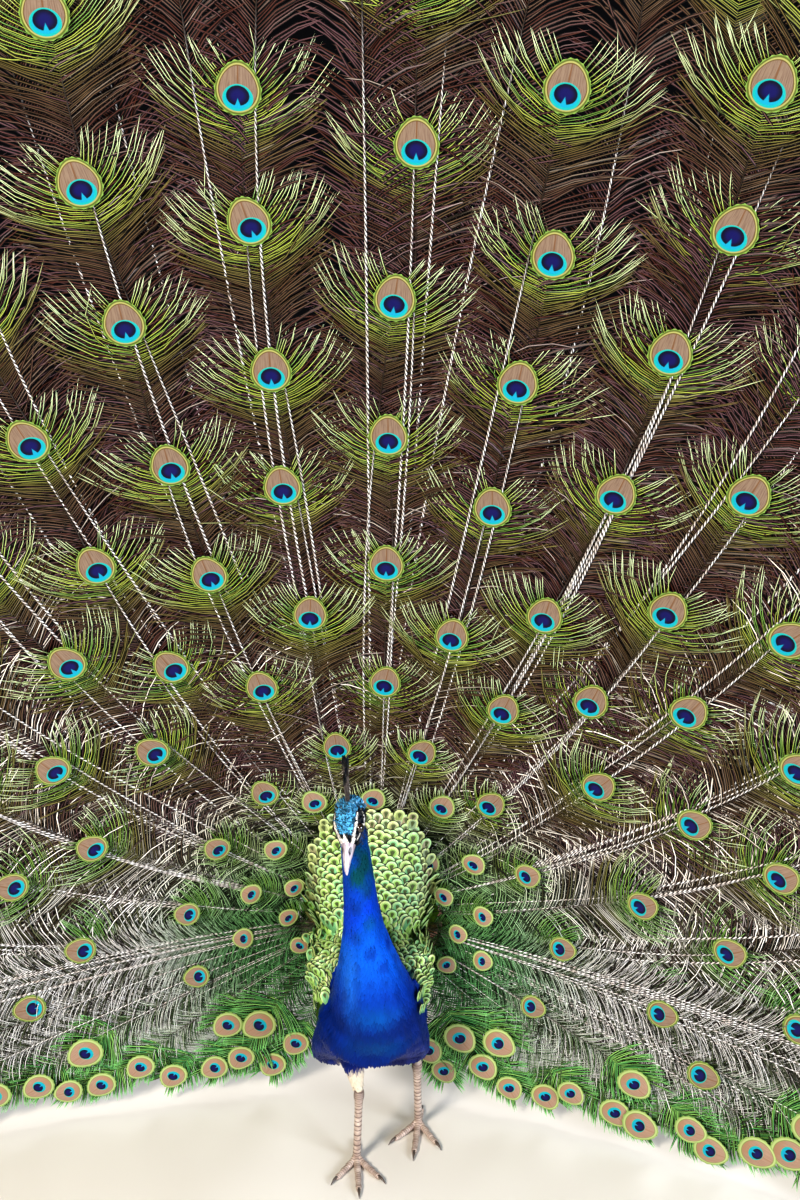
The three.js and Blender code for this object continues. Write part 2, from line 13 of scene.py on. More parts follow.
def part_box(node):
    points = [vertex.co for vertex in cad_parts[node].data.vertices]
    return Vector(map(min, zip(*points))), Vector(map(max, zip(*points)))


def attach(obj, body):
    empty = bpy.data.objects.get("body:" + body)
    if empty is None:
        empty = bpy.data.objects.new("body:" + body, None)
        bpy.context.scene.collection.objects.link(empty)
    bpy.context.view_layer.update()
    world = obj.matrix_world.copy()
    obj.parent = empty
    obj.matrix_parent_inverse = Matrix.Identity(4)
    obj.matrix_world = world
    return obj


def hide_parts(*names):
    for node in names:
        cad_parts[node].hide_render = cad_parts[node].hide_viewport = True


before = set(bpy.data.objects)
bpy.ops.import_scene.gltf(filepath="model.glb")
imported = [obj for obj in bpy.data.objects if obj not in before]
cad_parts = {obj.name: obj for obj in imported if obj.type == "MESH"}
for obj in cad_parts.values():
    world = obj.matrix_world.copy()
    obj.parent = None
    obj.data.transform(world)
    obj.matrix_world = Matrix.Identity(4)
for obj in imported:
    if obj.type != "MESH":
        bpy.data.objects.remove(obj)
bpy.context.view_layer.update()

bl_info = {
    "name": "Displaying peacock",
    "version": (1, 0, 0),
    "blender": (4, 5, 0),
    "location": "3D View > Sidebar > Peacock",
    "description": "Dresses the peacock's solids with skin, feathers, bill, eyes and legs",
    "category": "Object",
}

BODY = "root"
BAKE = "OFBake"
SIDES = (("right", -1), ("left", 1))

# The bird's own midline stands half way between its wings, and the wings start 84 mm ahead of it.
WING_RIGHT, WING_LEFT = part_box("wing_right"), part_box("wing_left")
OFFSET = np.array([(WING_RIGHT[0].x + WING_LEFT[1].x) / 2, WING_LEFT[0].y + 0.084, 0.0])

# The open train, as the solids have it: a dish round its root, rolled and turned a little.
TRAIN_ROOT = np.array([0, 0.080, 0.310])
TRAIN_ROLL = radians(3)
TRAIN_YAW = radians(-5)
DISH_TOP, DISH_SIDE, DISH_POWER = 0.13, 0.24, 1.4
TRAIN_TOP, TRAIN_SIDE = 1.450, 1.110
COLUMNS_EACH_SIDE = 9
COLUMN_ANGLE, COLUMN_CLOSE = radians(13.2), radians(3.4)

# The head's own axes: ahead along the bill, aside to the bird's left, above to the crown.
HEAD_CENTRE = np.array([-0.0225, -0.144, 0.584])
HEAD_YAW = Matrix.Rotation(radians(-8), 3, "Z")
AHEAD = np.array(HEAD_YAW @ Matrix.Rotation(radians(42), 3, "X") @ Vector((0, -1, 0)))
HEAD_ROLL = Matrix.Rotation(radians(17), 3, Vector(AHEAD))
ASIDE = np.array(HEAD_ROLL @ HEAD_YAW @ Vector((1, 0, 0)))
ABOVE = np.cross(AHEAD, ASIDE)


# ---------- colours, nodes and meshes ----------
def linear(code):
    """A colour's sRGB hex code as linear red, green and blue."""
    parts = [int(code[i : i + 2], 16) / 255 for i in (1, 3, 5)]
    return tuple(c / 12.92 if c <= 0.04045 else ((c + 0.055) / 1.055) ** 2.4 for c in parts)


def rgba(colour):
    return (*(linear(colour) if isinstance(colour, str) else colour), 1.0)


# Kinds of nodes, some with the settings that they always have here.
MIX = ("ShaderNodeMix", {"data_type": "RGBA"})
TIMES = ("ShaderNodeMix", {"data_type": "RGBA", "blend_type": "MULTIPLY"})
RANGE = ("ShaderNodeMapRange", {"interpolation_type": "SMOOTHSTEP"})
LENGTH = ("ShaderNodeVectorMath", {"operation": "LENGTH"})
ABSOLUTE, ADD, DIVIDE, FRACT, MAXIMUM, MULTIPLY, MULTIPLY_ADD, PINGPONG, SUBTRACT = (
    ("ShaderNodeMath", {"operation": operation})
    for operation in (
        "ABSOLUTE", "ADD", "DIVIDE", "FRACT", "MAXIMUM", "MULTIPLY", "MULTIPLY_ADD", "PINGPONG",
        "SUBTRACT",
    )
)
PLACE, RAMP, NOISE = "ShaderNodeTexCoord", "ShaderNodeValToRGB", "ShaderNodeTexNoise"
PARTS, JOIN, VECTOR = "ShaderNodeSeparateXYZ", "ShaderNodeCombineXYZ", "ShaderNodeVectorMath"
GIVEN, RANDOM = "ShaderNodeAttribute", "FunctionNodeRandomValue"


def node(tree, kind, inputs=(), stops=None, **settings):
    """Adds a node with its settings and inputs by order or name; gives its first live output."""
    kind, usual = (kind, {}) if isinstance(kind, str) else kind
    made = tree.nodes.new(kind)
    for key, value in {**usual, **settings}.items():
        setattr(made, key, value)
    live = [s for s in made.inputs if s.enabled]
    for key, value in inputs.items() if isinstance(inputs, dict) else enumerate(inputs):
        socket = live[key] if isinstance(key, int) else next(s for s in live if s.name == key)
        if isinstance(value, bpy.types.NodeSocket):
            tree.links.new(value, socket)
        elif value is not None:
            socket.default_value = rgba(value) if str(value)[0] == "#" else value
    if stops:
        elements = made.color_ramp.elements
        while len(elements) < len(stops):
            elements.new(0.5)
        for element, (place, colour) in zip(elements, stops):
            element.position = place
            element.color = rgba(colour)
    return next((s for s in made.outputs if s.enabled), None)


def new_material(name, **values):
    """A material with these shader values, what adds nodes to it, and its shader's sockets."""
    material = bpy.data.materials.new(name)
    material.use_nodes = True
    material.node_tree.nodes.clear()
    add = partial(node, material.node_tree)
    shader = add("ShaderNodeBsdfPrincipled").node
    for key, value in values.items():
        shader.inputs[key.replace("_", " ")].default_value = value
    add("ShaderNodeOutputMaterial", (shader.outputs[0],))
    return material, add, shader.inputs


def link(output, socket):
    socket.id_data.links.new(output, socket)


def grain(size):
    """A noise's scale for grain of this many millimetres, as a round number to the metre."""
    return 10.0 * round(100 / size)


def parts_of(add, name):
    """The three parts of a vector attribute."""
    found = add(GIVEN, attribute_name=name).node.outputs["Vector"]
    return add(PARTS, (found,)).node.outputs


def mesh_piece(name, points, faces, materials, index=None, uv=None, attributes=None):
    """A smooth mesh object from arrays: faces is a list of equal-sided index arrays."""
    mesh = bpy.data.meshes.new(name)
    corners = np.concatenate([f.ravel() for f in faces]).astype(np.int32)
    sides = np.concatenate([np.full(len(f), f.shape[1]) for f in faces])
    mesh.vertices.add(len(points))
    mesh.vertices.foreach_set("co", np.asarray(points, np.float32).ravel())
    mesh.loops.add(len(corners))
    mesh.loops.foreach_set("vertex_index", corners)
    mesh.polygons.add(len(sides))
    mesh.polygons.foreach_set("loop_start", np.concatenate([[0], np.cumsum(sides)[:-1]]))
    if index is not None:
        mesh.polygons.foreach_set("material_index", np.asarray(index, np.int32))
    mesh.update(calc_edges=True)
    if uv is not None:
        layer = mesh.uv_layers.new(name=BAKE)
        layer.uv.foreach_set("vector", np.asarray(uv, np.float32)[corners].ravel())
    for key, values in (attributes or {}).items():
        keep_values(mesh, key, values)
    for material in materials:
        mesh.materials.append(material)
    return link_object(name, mesh)


def link_object(name, mesh):
    """An object of this mesh in the scene, smooth shaded."""
    mesh.polygons.foreach_set("use_smooth", np.ones(len(mesh.polygons), bool))
    made = bpy.data.objects.new(name, mesh)
    bpy.context.scene.collection.objects.link(made)
    return made


def keep_values(mesh, name, values):
    """Stores one number or vector for each point under a name."""
    values = np.asarray(values, np.float32)
    kind, key = ("FLOAT", "value") if values.ndim == 1 else ("FLOAT_VECTOR", "vector")
    mesh.attributes.new(name, kind, "POINT").data.foreach_set(key, values.ravel())


def step(low, high, value):
    """0 below low, 1 above high, smooth between."""
    t = np.clip((value - low) / (high - low), 0, 1)
    return t * t * (3 - 2 * t)


class Store:
    """Gathers the arrays of many small shapes that become one mesh."""

    def __init__(self):
        self.points, self.uv, self.faces, self.index = [], [], {3: [], 4: []}, {3: [], 4: []}
        self.values = {}
        self.count = 0

    def add(self, points, uv, faces, slot, **values):
        for part in faces:
            self.faces[part.shape[1]].append(part + self.count)
            self.index[part.shape[1]].append(np.full(len(part), slot))
        self.points.append(points)
        self.uv.append(uv)
        for key, value in values.items():
            self.values.setdefault(key, []).append(value)
        self.count += len(points)

    def piece(self, name, materials):
        sizes = [n for n in (3, 4) if self.faces[n]]
        faces = [np.concatenate(self.faces[n]) for n in sizes]
        index = np.concatenate([np.concatenate(self.index[n]) for n in sizes])
        values = {key: np.concatenate(parts) for key, parts in self.values.items()}
        uv = np.concatenate(self.uv)
        return mesh_piece(name, np.concatenate(self.points), faces, materials, index, uv, values)


def grid_quads(rows, columns, closed=False):
    """Faces of a grid of points; a closed grid joins its last column to its first."""
    i = np.arange(rows - 1)[:, None] * columns
    j = np.arange(columns if closed else columns - 1)[None]
    after = (j + 1) % columns
    return np.stack([i + j, i + after, i + columns + after, i + columns + j], -1).reshape(-1, 4)


def finish_piece(piece, nodes=(), outward=False):
    """The piece moves with the bird and stands for its solids."""
    if outward:
        work = bmesh.new()
        work.from_mesh(piece.data)
        bmesh.ops.remove_doubles(work, verts=work.verts, dist=1e-6)
        bmesh.ops.recalc_face_normals(work, faces=work.faces)
        work.to_mesh(piece.data)
        work.free()
    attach(piece, BODY)
    if nodes:
        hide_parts(*nodes)


# ---------- the open train ----------
def fan(aside, up, behind=0.0):
    """Points of the open train from their place on the flat fan, and a step behind it."""
    reach = np.hypot(aside, up)
    level = (aside / np.maximum(reach, 1e-6)) ** 2
    y = behind - (DISH_TOP + DISH_SIDE * level) * reach**DISH_POWER
    x = aside * cos(TRAIN_ROLL) + up * sin(TRAIN_ROLL)
    z = up * cos(TRAIN_ROLL) - aside * sin(TRAIN_ROLL)
    x, y = (
        x * cos(TRAIN_YAW) - y * sin(TRAIN_YAW),
        x * sin(TRAIN_YAW) + y * cos(TRAIN_YAW),
    )
    return np.stack([x, y, z], -1) + TRAIN_ROOT + OFFSET


def train_reach(angle):
    return TRAIN_SIDE + (TRAIN_TOP - TRAIN_SIDE) * np.cos(angle) ** 2


def column_angle(column, reach):
    return column * (COLUMN_ANGLE - COLUMN_CLOSE * reach)


def edge_height(aside, height):
    """Where the flat fan reaches a height above the floor, out to one side."""
    rise = height - TRAIN_ROOT[2] + aside * sin(TRAIN_ROLL)
    return rise / cos(TRAIN_ROLL)


LOOSE_STATIONS = (0, 0.34, 0.68, 1.0)
FLARE_STATIONS = (0, 0.2, 0.42, 0.68, 1.0)
STEM_ROOT = 0.085  # how far out of the fan's middle a stem starts
STEM_POINTS = 60
STEM_STEP = 0.004  # how far to each side a stem's direction is read
SHAFT_POINTS = 40
EYE_RINGS, EYE_SPOKES = 5, 36
EYE_RISE = 0.007  # how far an eye spot lies in front of its stem
ROW_PITCH = 0.0042  # height of a barb's place on the bake map, with its margin
PATCH = 0.003  # height of that place without its margin
LANES = 4  # barbs beside one another on the bake map
LOWEST = 0.012  # nothing of the train comes nearer the floor
FOOT_PITCH = 0.0068  # the dashes that barbs' feet make on a shaft, coarse enough to show


class Feather:
    """One feather of the train: a stem on the flat fan, its barbs and its eye."""

    def __init__(self, store, rng, path, depth, strip):
        self.store, self.rng, self.depth, self.strip = store, rng, depth, strip
        steps = np.hypot(*np.diff(path, axis=0).T)
        self.along = np.concatenate([[0], np.cumsum(steps)])
        self.length = self.along[-1]
        self.path = path
        self.rows = 0

    def at(self, s):
        """Point, direction and depth of the stem at distances from its root."""
        s = np.asarray(s, float)

        def place(where):
            return np.stack([np.interp(where, self.along, self.path[:, i]) for i in (0, 1)], -1)

        before, after = np.clip(s - STEM_STEP, 0, None), np.clip(s + STEM_STEP, None, self.length)
        way = place(after) - place(before)
        way /= np.maximum(np.linalg.norm(way, axis=1, keepdims=True), 1e-9)
        over = np.clip(s - self.length, 0, None)
        return place(s) + way * over[:, None], way, np.interp(s, self.along, self.depth)

    def shaft(self, slot, end, wide):
        """The shaft: four-sided, sunk among the barbs near its tip, proud of them lower down."""
        n = SHAFT_POINTS
        s = np.linspace(0, end, n)
        here, way, depth = self.at(s)
        across = np.stack([way[:, 1], -way[:, 0]], -1)
        below = self.length - s
        reach = np.hypot(*here.T)
        half = wide * np.interp(below, [0, 0.15, 0.4, 1.2], [0.22, 0.5, 0.85, 1.25]) / 2
        half = half * (0.25 + 0.25 * step(0.10, 0.17, reach) + 0.5 * step(0.12, 0.50, reach))
        front = depth - np.interp(below, [0.03, 0.25], [-0.0015, 0.005])
        corners = []
        for offset, rise in ((-1, 0), (0, 1), (1, 0), (0, -1)):
            p = here + across * (offset * half)[:, None]
            corners.append(fan(p[:, 0], p[:, 1], front - rise * half * 0.9))
        points = np.stack(corners, 1).reshape(-1, 3)
        u0, u1 = self.strip
        u = u1 - (u1 - u0) * 0.03 * np.array([1.0, 0.7, 0.4, 0.1])
        uv = np.stack([np.tile(u, n), np.repeat(0.8 * s / end, 4)], -1)
        barb = np.stack([np.repeat(s, 4), np.tile([0, 0.5, 1, 0.5], n), np.full(4 * n, 0.5)], -1)
        place = np.stack([np.repeat(below, 4), np.repeat(reach, 4), np.zeros(4 * n)], -1)
        faces = [grid_quads(n, 4, closed=True)]
        self.store.add(points, uv, faces, slot, barb=barb, place=place)

    def barbs(self, slot, starts, length, lean, bend, width, flare, stations):
        """Barbs on both sides of the stem: each leaves it leaning forward, then bends."""
        rng, half_count = self.rng, len(starts)
        starts, length, lean, bend, flare = (
            np.tile(np.broadcast_to(v, half_count), 2).astype(float)
            for v in (starts, length, lean, bend, flare)
        )
        n, t, m = len(starts), np.array(stations), len(stations)
        side = np.repeat([-1.0, 1.0], half_count)
        # neighbouring barbs gather in loose locks, and a few stray
        lock = np.sin(starts * 230 + side * 2 + rng.uniform(0, 6))
        lock += np.sin(starts * 97 + rng.uniform(0, 6))
        wild = rng.normal(0, 1, n) * (rng.uniform(0, 1, n) < 0.07)
        starts = starts + rng.normal(0, 0.0004, n)
        length = length * (1 + rng.normal(0, 0.05, n))
        lean = np.radians(lean + (rng.normal(0, 1.6, n) + 3.0 * wild))
        bend = np.radians(bend + (rng.normal(0, 3.0, n) + 4.0 * lock + 22.0 * wild))
        root, way, depth = self.at(starts)
        # pale barbs, painted glints of light, are commoner low and near the middle of the fan
        reach = np.hypot(root[:, 0], root[:, 1])
        level = np.abs(root[:, 0]) / np.maximum(reach, 1e-6)
        tone = rng.uniform(0, 1, n) - 0.12
        tone += 0.14 * step(0.75, 0.25, reach) + 0.30 * step(0.5, 0.95, level)
        over = np.stack([way[:, 1], -way[:, 0]], -1) * side[:, None]

        def heading(share):
            a = lean + bend * share
            return way * np.cos(a)[:, None] + over * np.sin(a)[:, None]

        p = np.zeros((n, m, 2))
        p[:, 0] = root
        for j in range(1, m):
            run = (length * (t[j] - t[j - 1]))[:, None]
            p[:, j] = p[:, j - 1] + heading((t[j] + t[j - 1]) / 2) * run
        ways = np.stack([heading(share) for share in t], 1)
        square = np.stack([ways[..., 1], -ways[..., 0]], -1)
        half = width / 2 * np.interp(t, [0, 0.3, 0.7, 1], [0.6, 1.0, 0.8, 0.0])[None]
        twist = np.clip(rng.normal(0, 0.28, n), -0.9, 0.9)[:, None]
        sag = rng.normal(0, 0.0035, n)[:, None] * t[None] ** 1.5
        back = depth[:, None] + sag - 0.0012 * np.sin(t * pi)[None]
        left, right = (
            fan(*np.moveaxis(p + sign * square * (half * np.cos(twist))[..., None], -1, 0),
                back + sign * half * np.sin(twist))
            for sign in (-1, 1)
        )
        points = np.zeros((n, 2 * m - 1, 3))
        points[:, 0:-1:2], points[:, 1:-1:2] = left[:, :-1], right[:, :-1]
        points[:, -1] = left[:, -1]
        points[..., 2] = np.maximum(points[..., 2], LOWEST)
        # nothing holds a barb that would start past the end of the stem, so it is left out
        held = starts - STEM_STEP < self.length
        base = np.arange(held.sum())[:, None] * (2 * m - 1)
        # seen from the front, both sides of the stem wind the same way
        quads = [base + np.array([0, 1, 3, 2]) + 2 * j for j in range(m - 2)]
        tris = base + np.array([0, 1, 2]) + 2 * (m - 2)
        along = np.concatenate([np.repeat(t[:-1], 2), [1]])
        across = np.concatenate([np.tile([0.0, 1.0], m - 1), [0.5]])
        u0, u1 = self.strip
        lane = (u1 - u0) * 0.96 / LANES
        order = np.arange(n)[:, None]
        u = u0 + (order % LANES) * lane + along * lane * 0.9
        v = (self.rows + order // LANES) * ROW_PITCH + across * PATCH
        self.rows += n // LANES + 1
        reach = reach + 0.05 * np.clip(root[:, 1] / np.maximum(reach, 1e-6), 0, 1)
        place = np.stack([self.length - starts, reach, flare], -1)
        self.store.add(
            points[held].reshape(-1, 3), np.stack([u, v], -1)[held].reshape(-1, 2),
            [np.concatenate(quads), tris], slot,
            barb=np.stack(np.broadcast_arrays(along, across, tone[held, None]), -1).reshape(-1, 3),
            place=np.repeat(place[held], 2 * m - 1, 0),
        )

    def eye(self, slot, wide, tall, turn, small):
        """The eye spot: a shallow oval dish over the end of the stem."""
        centre, way, depth = self.at(np.array([self.length]))
        level = abs(centre[0, 0]) / np.hypot(*centre[0])
        rise = EYE_RISE + 0.012 * float(step(0.5, 0.95, level))
        c, s = cos(turn), sin(turn)
        way = np.array([way[0][0] * c - way[0][1] * s, way[0][0] * s + way[0][1] * c])
        over = np.array([way[1], -way[0]])
        rings, spokes = EYE_RINGS, EYE_SPOKES
        r = np.linspace(0, 1, rings + 1)[1:, None]
        a = np.arange(spokes)[None] / spokes * 2 * pi
        # the barbs' ends make a finely toothed rim
        r = r + 0.022 * (r > 0.9) * np.cos(spokes / 2 * a)
        x = np.concatenate([[0], (r * np.cos(a)).ravel()])
        y = np.concatenate([[0], (r * np.sin(a)).ravel()])
        egg = 1 - 0.15 * y - 0.05 * np.abs(y)
        flat = centre[0] + (x * egg * wide / 2)[:, None] * over + (y * tall / 2)[:, None] * way
        points = fan(flat[:, 0], flat[:, 1], depth[0] - rise - 0.0022 * (1 - x * x - y * y))
        points[..., 2] = np.maximum(points[..., 2], LOWEST)
        i = np.arange(spokes)
        tris = np.stack([np.zeros(spokes, int), 1 + i, 1 + (i + 1) % spokes], -1)
        quads = grid_quads(rings, spokes, closed=True)[:, ::-1] + 1
        u0, u1 = self.strip
        uv = np.stack([(u0 + u1) / 2 + x * (u1 - u0) * 0.45, 0.91 + y * 0.08], -1)
        n = len(points)
        barb = np.stack([x, y, np.full(n, self.rng.uniform())], -1)
        place = np.tile([small, 0.0, 0.0], (n, 1))
        self.store.add(points, uv, [tris, quads], slot, barb=barb, place=place)


def barb_material():
    """Loose barbs: keratin threads whose bright ridge, partly a painted highlight, runs between
    dark barbules, partly painted shade.
    """
    material, add, sockets = new_material("barb_keratin", Roughness=0.4, Specular_IOR_Level=0.15)
    along, across, tone = parts_of(add, "barb")
    below, reach, flare = parts_of(add, "place")
    height = add(PARTS, (add(PLACE).node.outputs["Object"],)).node.outputs["Z"]
    centre = add(ABSOLUTE, (add(SUBTRACT, (across, 0.5)),))
    ridge, near, low, cream, brown, apart, lit, older, greener, tip = (
        add(RANGE, edges)
        for edges in (
            (centre, 0.22, 0.12), (reach, 0.34, 0.16), (height, 0.55, 0.22), (tone, 0.82, 1.0),
            (tone, 0.34, 0.10), (below, 0.06, 0.16), (tone, 0.30, 0.80), (tone, 0.3, 0.8),
            (tone, 0.3, 1.0), (along, 0.35, 0.95),
        )
    )
    dark = add(RAMP, (below,), (
        (0.0, "#0f1404"), (0.06, "#0d0b04"), (0.14, "#070403"), (0.45, "#050302"),
    ))
    bright = add(RAMP, (below,), (
        (0.0, "#c4cc5c"), (0.05, "#7a763a"), (0.09, "#5c4a30"), (0.20, "#5c4044"),
        (1.0, "#664e56"),
    ))
    # below the eye spot some barbs are brown and some cream, the cream a painted glint, and low on
    # the fan a painted sunlit paleness turns them grey to white
    varied = add(MIX, (brown, add(MIX, (cream, bright, "#fff6ea")), "#4c2a22"))
    bright = add(MIX, (apart, bright, varied))
    painted_sunlit_pale = add(RAMP, (tone,), ((0.39, "#12170d"), (0.62, "#6e7e5c"), (0.84, "#ffffff")))
    bright = add(MIX, (add(MULTIPLY, (low, 0.8)), bright, painted_sunlit_pale))
    # near the rump all barbs are green
    leafy = add(MIX, (lit, "#122410", add(MIX, (low, "#a0a67e", "#6cb46e"))))
    bright = add(MIX, (near, bright, leafy))
    dark = add(MIX, (near, add(MIX, (low, dark, "#0c0f08")), "#050c05"))
    # the ridge's bright colour is partly a painted highlight, and the near-black sides are partly
    # painted shade between the fan's layers
    loose = add(MIX, (ridge, dark, bright))
    # the dense barbs round an eye spot are leaf green with pale tips
    leaf = add(MIX, (older, "#aab850", "#6c9544"))
    green = add(MIX, (greener, "#35a060", "#9ad070"))
    leaf = add(MIX, (add(MULTIPLY, (low, 0.85)), leaf, green))
    leaf = add(MIX, (tip, leaf, add(MIX, (low, "#dcecc0", "#7cc070"))))
    # here too the ridge is partly a painted highlight and its dark sides partly painted shade
    leaf = add(MIX, (ridge, "#131d05", leaf))
    link(add(MIX, (flare, loose, leaf)), sockets["Base Color"])
    return material


def shaft_material():
    """Shafts: hollow cream-white keratin that dark feet of barbs cross at a slant."""
    material, add, sockets = new_material("shaft_keratin", Roughness=0.32)
    below, reach, _ = parts_of(add, "place")
    along, across, _ = parts_of(add, "barb")
    streak = add(NOISE, (add(PLACE).node.outputs["Object"], grain(11)))
    white = add(RAMP, (streak,), ((0.35, "#d0c4bc"), (0.62, "#ffffff")))
    foot = add(FRACT, (add(MULTIPLY_ADD, (along, 1 / FOOT_PITCH, across)),))
    for share, colour in (
        (add(RANGE, (foot, 0.46, 0.54)), "#241812"), (add(RANGE, (reach, 0.16, 0.11)), "#2c2f1e"),
    ):
        white = add(MIX, (share, white, colour))
    link(add(MIX, (add(RANGE, (below, 0.13, 0.27)), "#251a10", white)), sockets["Base Color"])
    return material


def oval(add, x, y, cx, cy, rx, ry):
    """How far out of an oval a place is: 1 on its rim."""
    px = add(DIVIDE, (add(SUBTRACT, (x, cx)), rx))
    py = add(DIVIDE, (add(SUBTRACT, (y, cy)), ry))
    return add(LENGTH, (add(JOIN, (px, py)),))


def eye_spot_material(colours):
    """Eye spots: thin films in flat barbules give rings of metal colour that don't fade."""
    material, add, sockets = new_material("eye_spot_film", Specular_IOR_Level=0.2, Roughness=0.45)
    x, y, tone = parts_of(add, "barb")
    small = parts_of(add, "place")[0]
    whole = add(LENGTH, (add(JOIN, (x, y)),))
    aside = add(ABSOLUTE, (x,))
    streak = add(NOISE, (add(JOIN, (add(MULTIPLY, (x, 16.0)), y, tone)), 1.6, 3.0))
    base = add(MIX, (add(RANGE, (streak, 0.35, 0.62)), "#6c584a", colours["bronze"]))
    stem = add(MULTIPLY, (add(RANGE, (aside, 0.05, 0.015)), add(RANGE, (y, 0.05, 0.2))))
    # a small eye has a paler disc, and one pale green ring for its rim
    halo = add(MULTIPLY, (add(RANGE, (whole, 0.76, 0.88)), add(RANGE, (whole, 1.02, 0.90))))
    halo = add(MULTIPLY, (halo, add(MULTIPLY, (small, 0.8))))
    for share, colour in (
        (add(RANGE, (y, -0.25, -0.8)), "#745430"), (stem, "#6a4a30"),
        (add(MULTIPLY, (small, 0.38)), "#b8957e"), (add(RANGE, (whole, 0.78, 0.81)), "#57431f"),
        (add(RANGE, (whole, 0.82, 0.85)), "#98965a"), (add(RANGE, (whole, 0.88, 0.91)), "#525e22"),
        (add(RANGE, (whole, 0.94, 1.0)), "#7ca04c"), (halo, "#a3b877"),
    ):
        base = add(MIX, (share, base, colour))
    # and its turquoise ring stands nearer the middle of the disc
    y = add(MULTIPLY_ADD, (small, -0.24, y))
    grow = add(MULTIPLY_ADD, (small, 0.38, 1.0))
    ring = add(MULTIPLY, (oval(add, x, y, 0.0, -0.35, 0.63, 0.49), grow))
    heart = add(MULTIPLY, (oval(add, x, y, 0.0, -0.275, 0.49, 0.375), grow))
    inner = add(MIX, (add(RANGE, (ring, 0.9, 0.75)), colours["ring"], "#0a8fae"))
    base = add(MIX, (add(RANGE, (ring, 1.04, 0.97)), base, colours["ring"]))
    base = add(MIX, (add(RANGE, (ring, 0.93, 0.88)), base, inner))
    # the dark heart is notched from below
    wedge = add(MULTIPLY, (add(SUBTRACT, (-0.44, y)), 0.42))
    open_part = add(RANGE, (add(SUBTRACT, (aside, wedge)), 0.0, 0.05))
    inside = add(MULTIPLY, (add(RANGE, (heart, 1.03, 0.94)), open_part))
    navy = add(MIX, (add(RANGE, (heart, 0.35, 0.95)), colours["pupil"], "#02031a"))
    link(add(MIX, (inside, base, navy)), sockets["Base Color"])
    return material


def eye_width(reach):
    return 0.030 + 0.023 * (1 - np.exp(-(reach - 0.1) / 0.35))


def column_eyes(column):
    """How far out a column's eyes stand: even and odd columns alternate."""
    first = 0.230 if column % 2 == 0 else 0.320
    pull = 0.060 if abs(column) >= 3 else 0.030 if abs(column) < 2 else 0.0
    limit = train_reach(column_angle(column, 1.2)) - 0.080
    eyes = [first - pull]
    reach = first + 0.175
    while reach < limit:
        eyes.append(reach)
        reach += 0.175
    if abs(column) >= 3 and column % 2:
        eyes.insert(0, 0.106 + 0.007 * (column % 4))
    return eyes


def radial_path(angle_at, tip, rng, sway=3.6):
    """A stem from the rump to its tip, along a line of the fan with a slight sway."""
    reach = np.linspace(STEM_ROOT, tip, STEM_POINTS)
    share = (reach - STEM_ROOT) / (tip - STEM_ROOT)
    drift = radians(rng.normal(0, sway)) * (1 - share)
    bow = radians(rng.normal(0, 0.7)) * np.sin(pi * share)
    angle = angle_at(reach) + drift + bow
    return np.stack([reach * np.sin(angle), reach * np.cos(angle)], -1)


def train_column(column, sizes, materials):
    """All feathers of one column of the fan: shortest in front, fish-tailed ones behind."""
    rng = np.random.default_rng(sizes.seed * 100 + column + 50)
    store = Store()
    eyes = column_eyes(column)
    rim = float(train_reach(column_angle(column, 1.2)))
    plan = [(column + rng.normal(0, 0.05), e + rng.normal(0, 0.010), True) for e in eyes]
    plan += [(column + off, rim - 0.05, False) for off in (-0.27, 0.24)]
    for i, (line, tip, has_eye) in enumerate(plan):
        layer = i / max(len(plan) - 1, 1)
        path = radial_path(lambda reach: column_angle(line, reach), tip, rng)
        depth = np.full(STEM_POINTS, -0.008 + 0.016 * layer + rng.normal(0, 0.0015))
        depth = depth * np.linspace(0.35, 1, STEM_POINTS)
        strip = (i / len(plan), (i + 1) / len(plan))
        feather = Feather(store, rng, path, depth, strip)
        train_feather(feather, tip, has_eye, sizes)
    side = "right" if column < 0 else "left"
    name = f"train_{side}_{abs(column)}" if column else "train_middle"
    piece = store.piece(name + "_feathers", materials)
    finish_piece(piece, [name])


# How a barb leaves the stem, by how many eye widths below the eye's middle it starts:
# [widths below, lean, bend, length in eye widths]. Lower barbs arch outward and down.
BARB_COURSE = np.array([
    (-0.45, 3, 14, 0.58), (-0.15, 22, 4, 0.95), (0.2, 52, -28, 1.55), (0.6, 72, -48, 2.3),
    (0.95, 82, -54, 2.55), (1.4, 70, -20, 2.2), (2.1, 54, 20, 1.9), (3.2, 46, 42, 1.7),
    (40, 42, 48, 1.6),
])


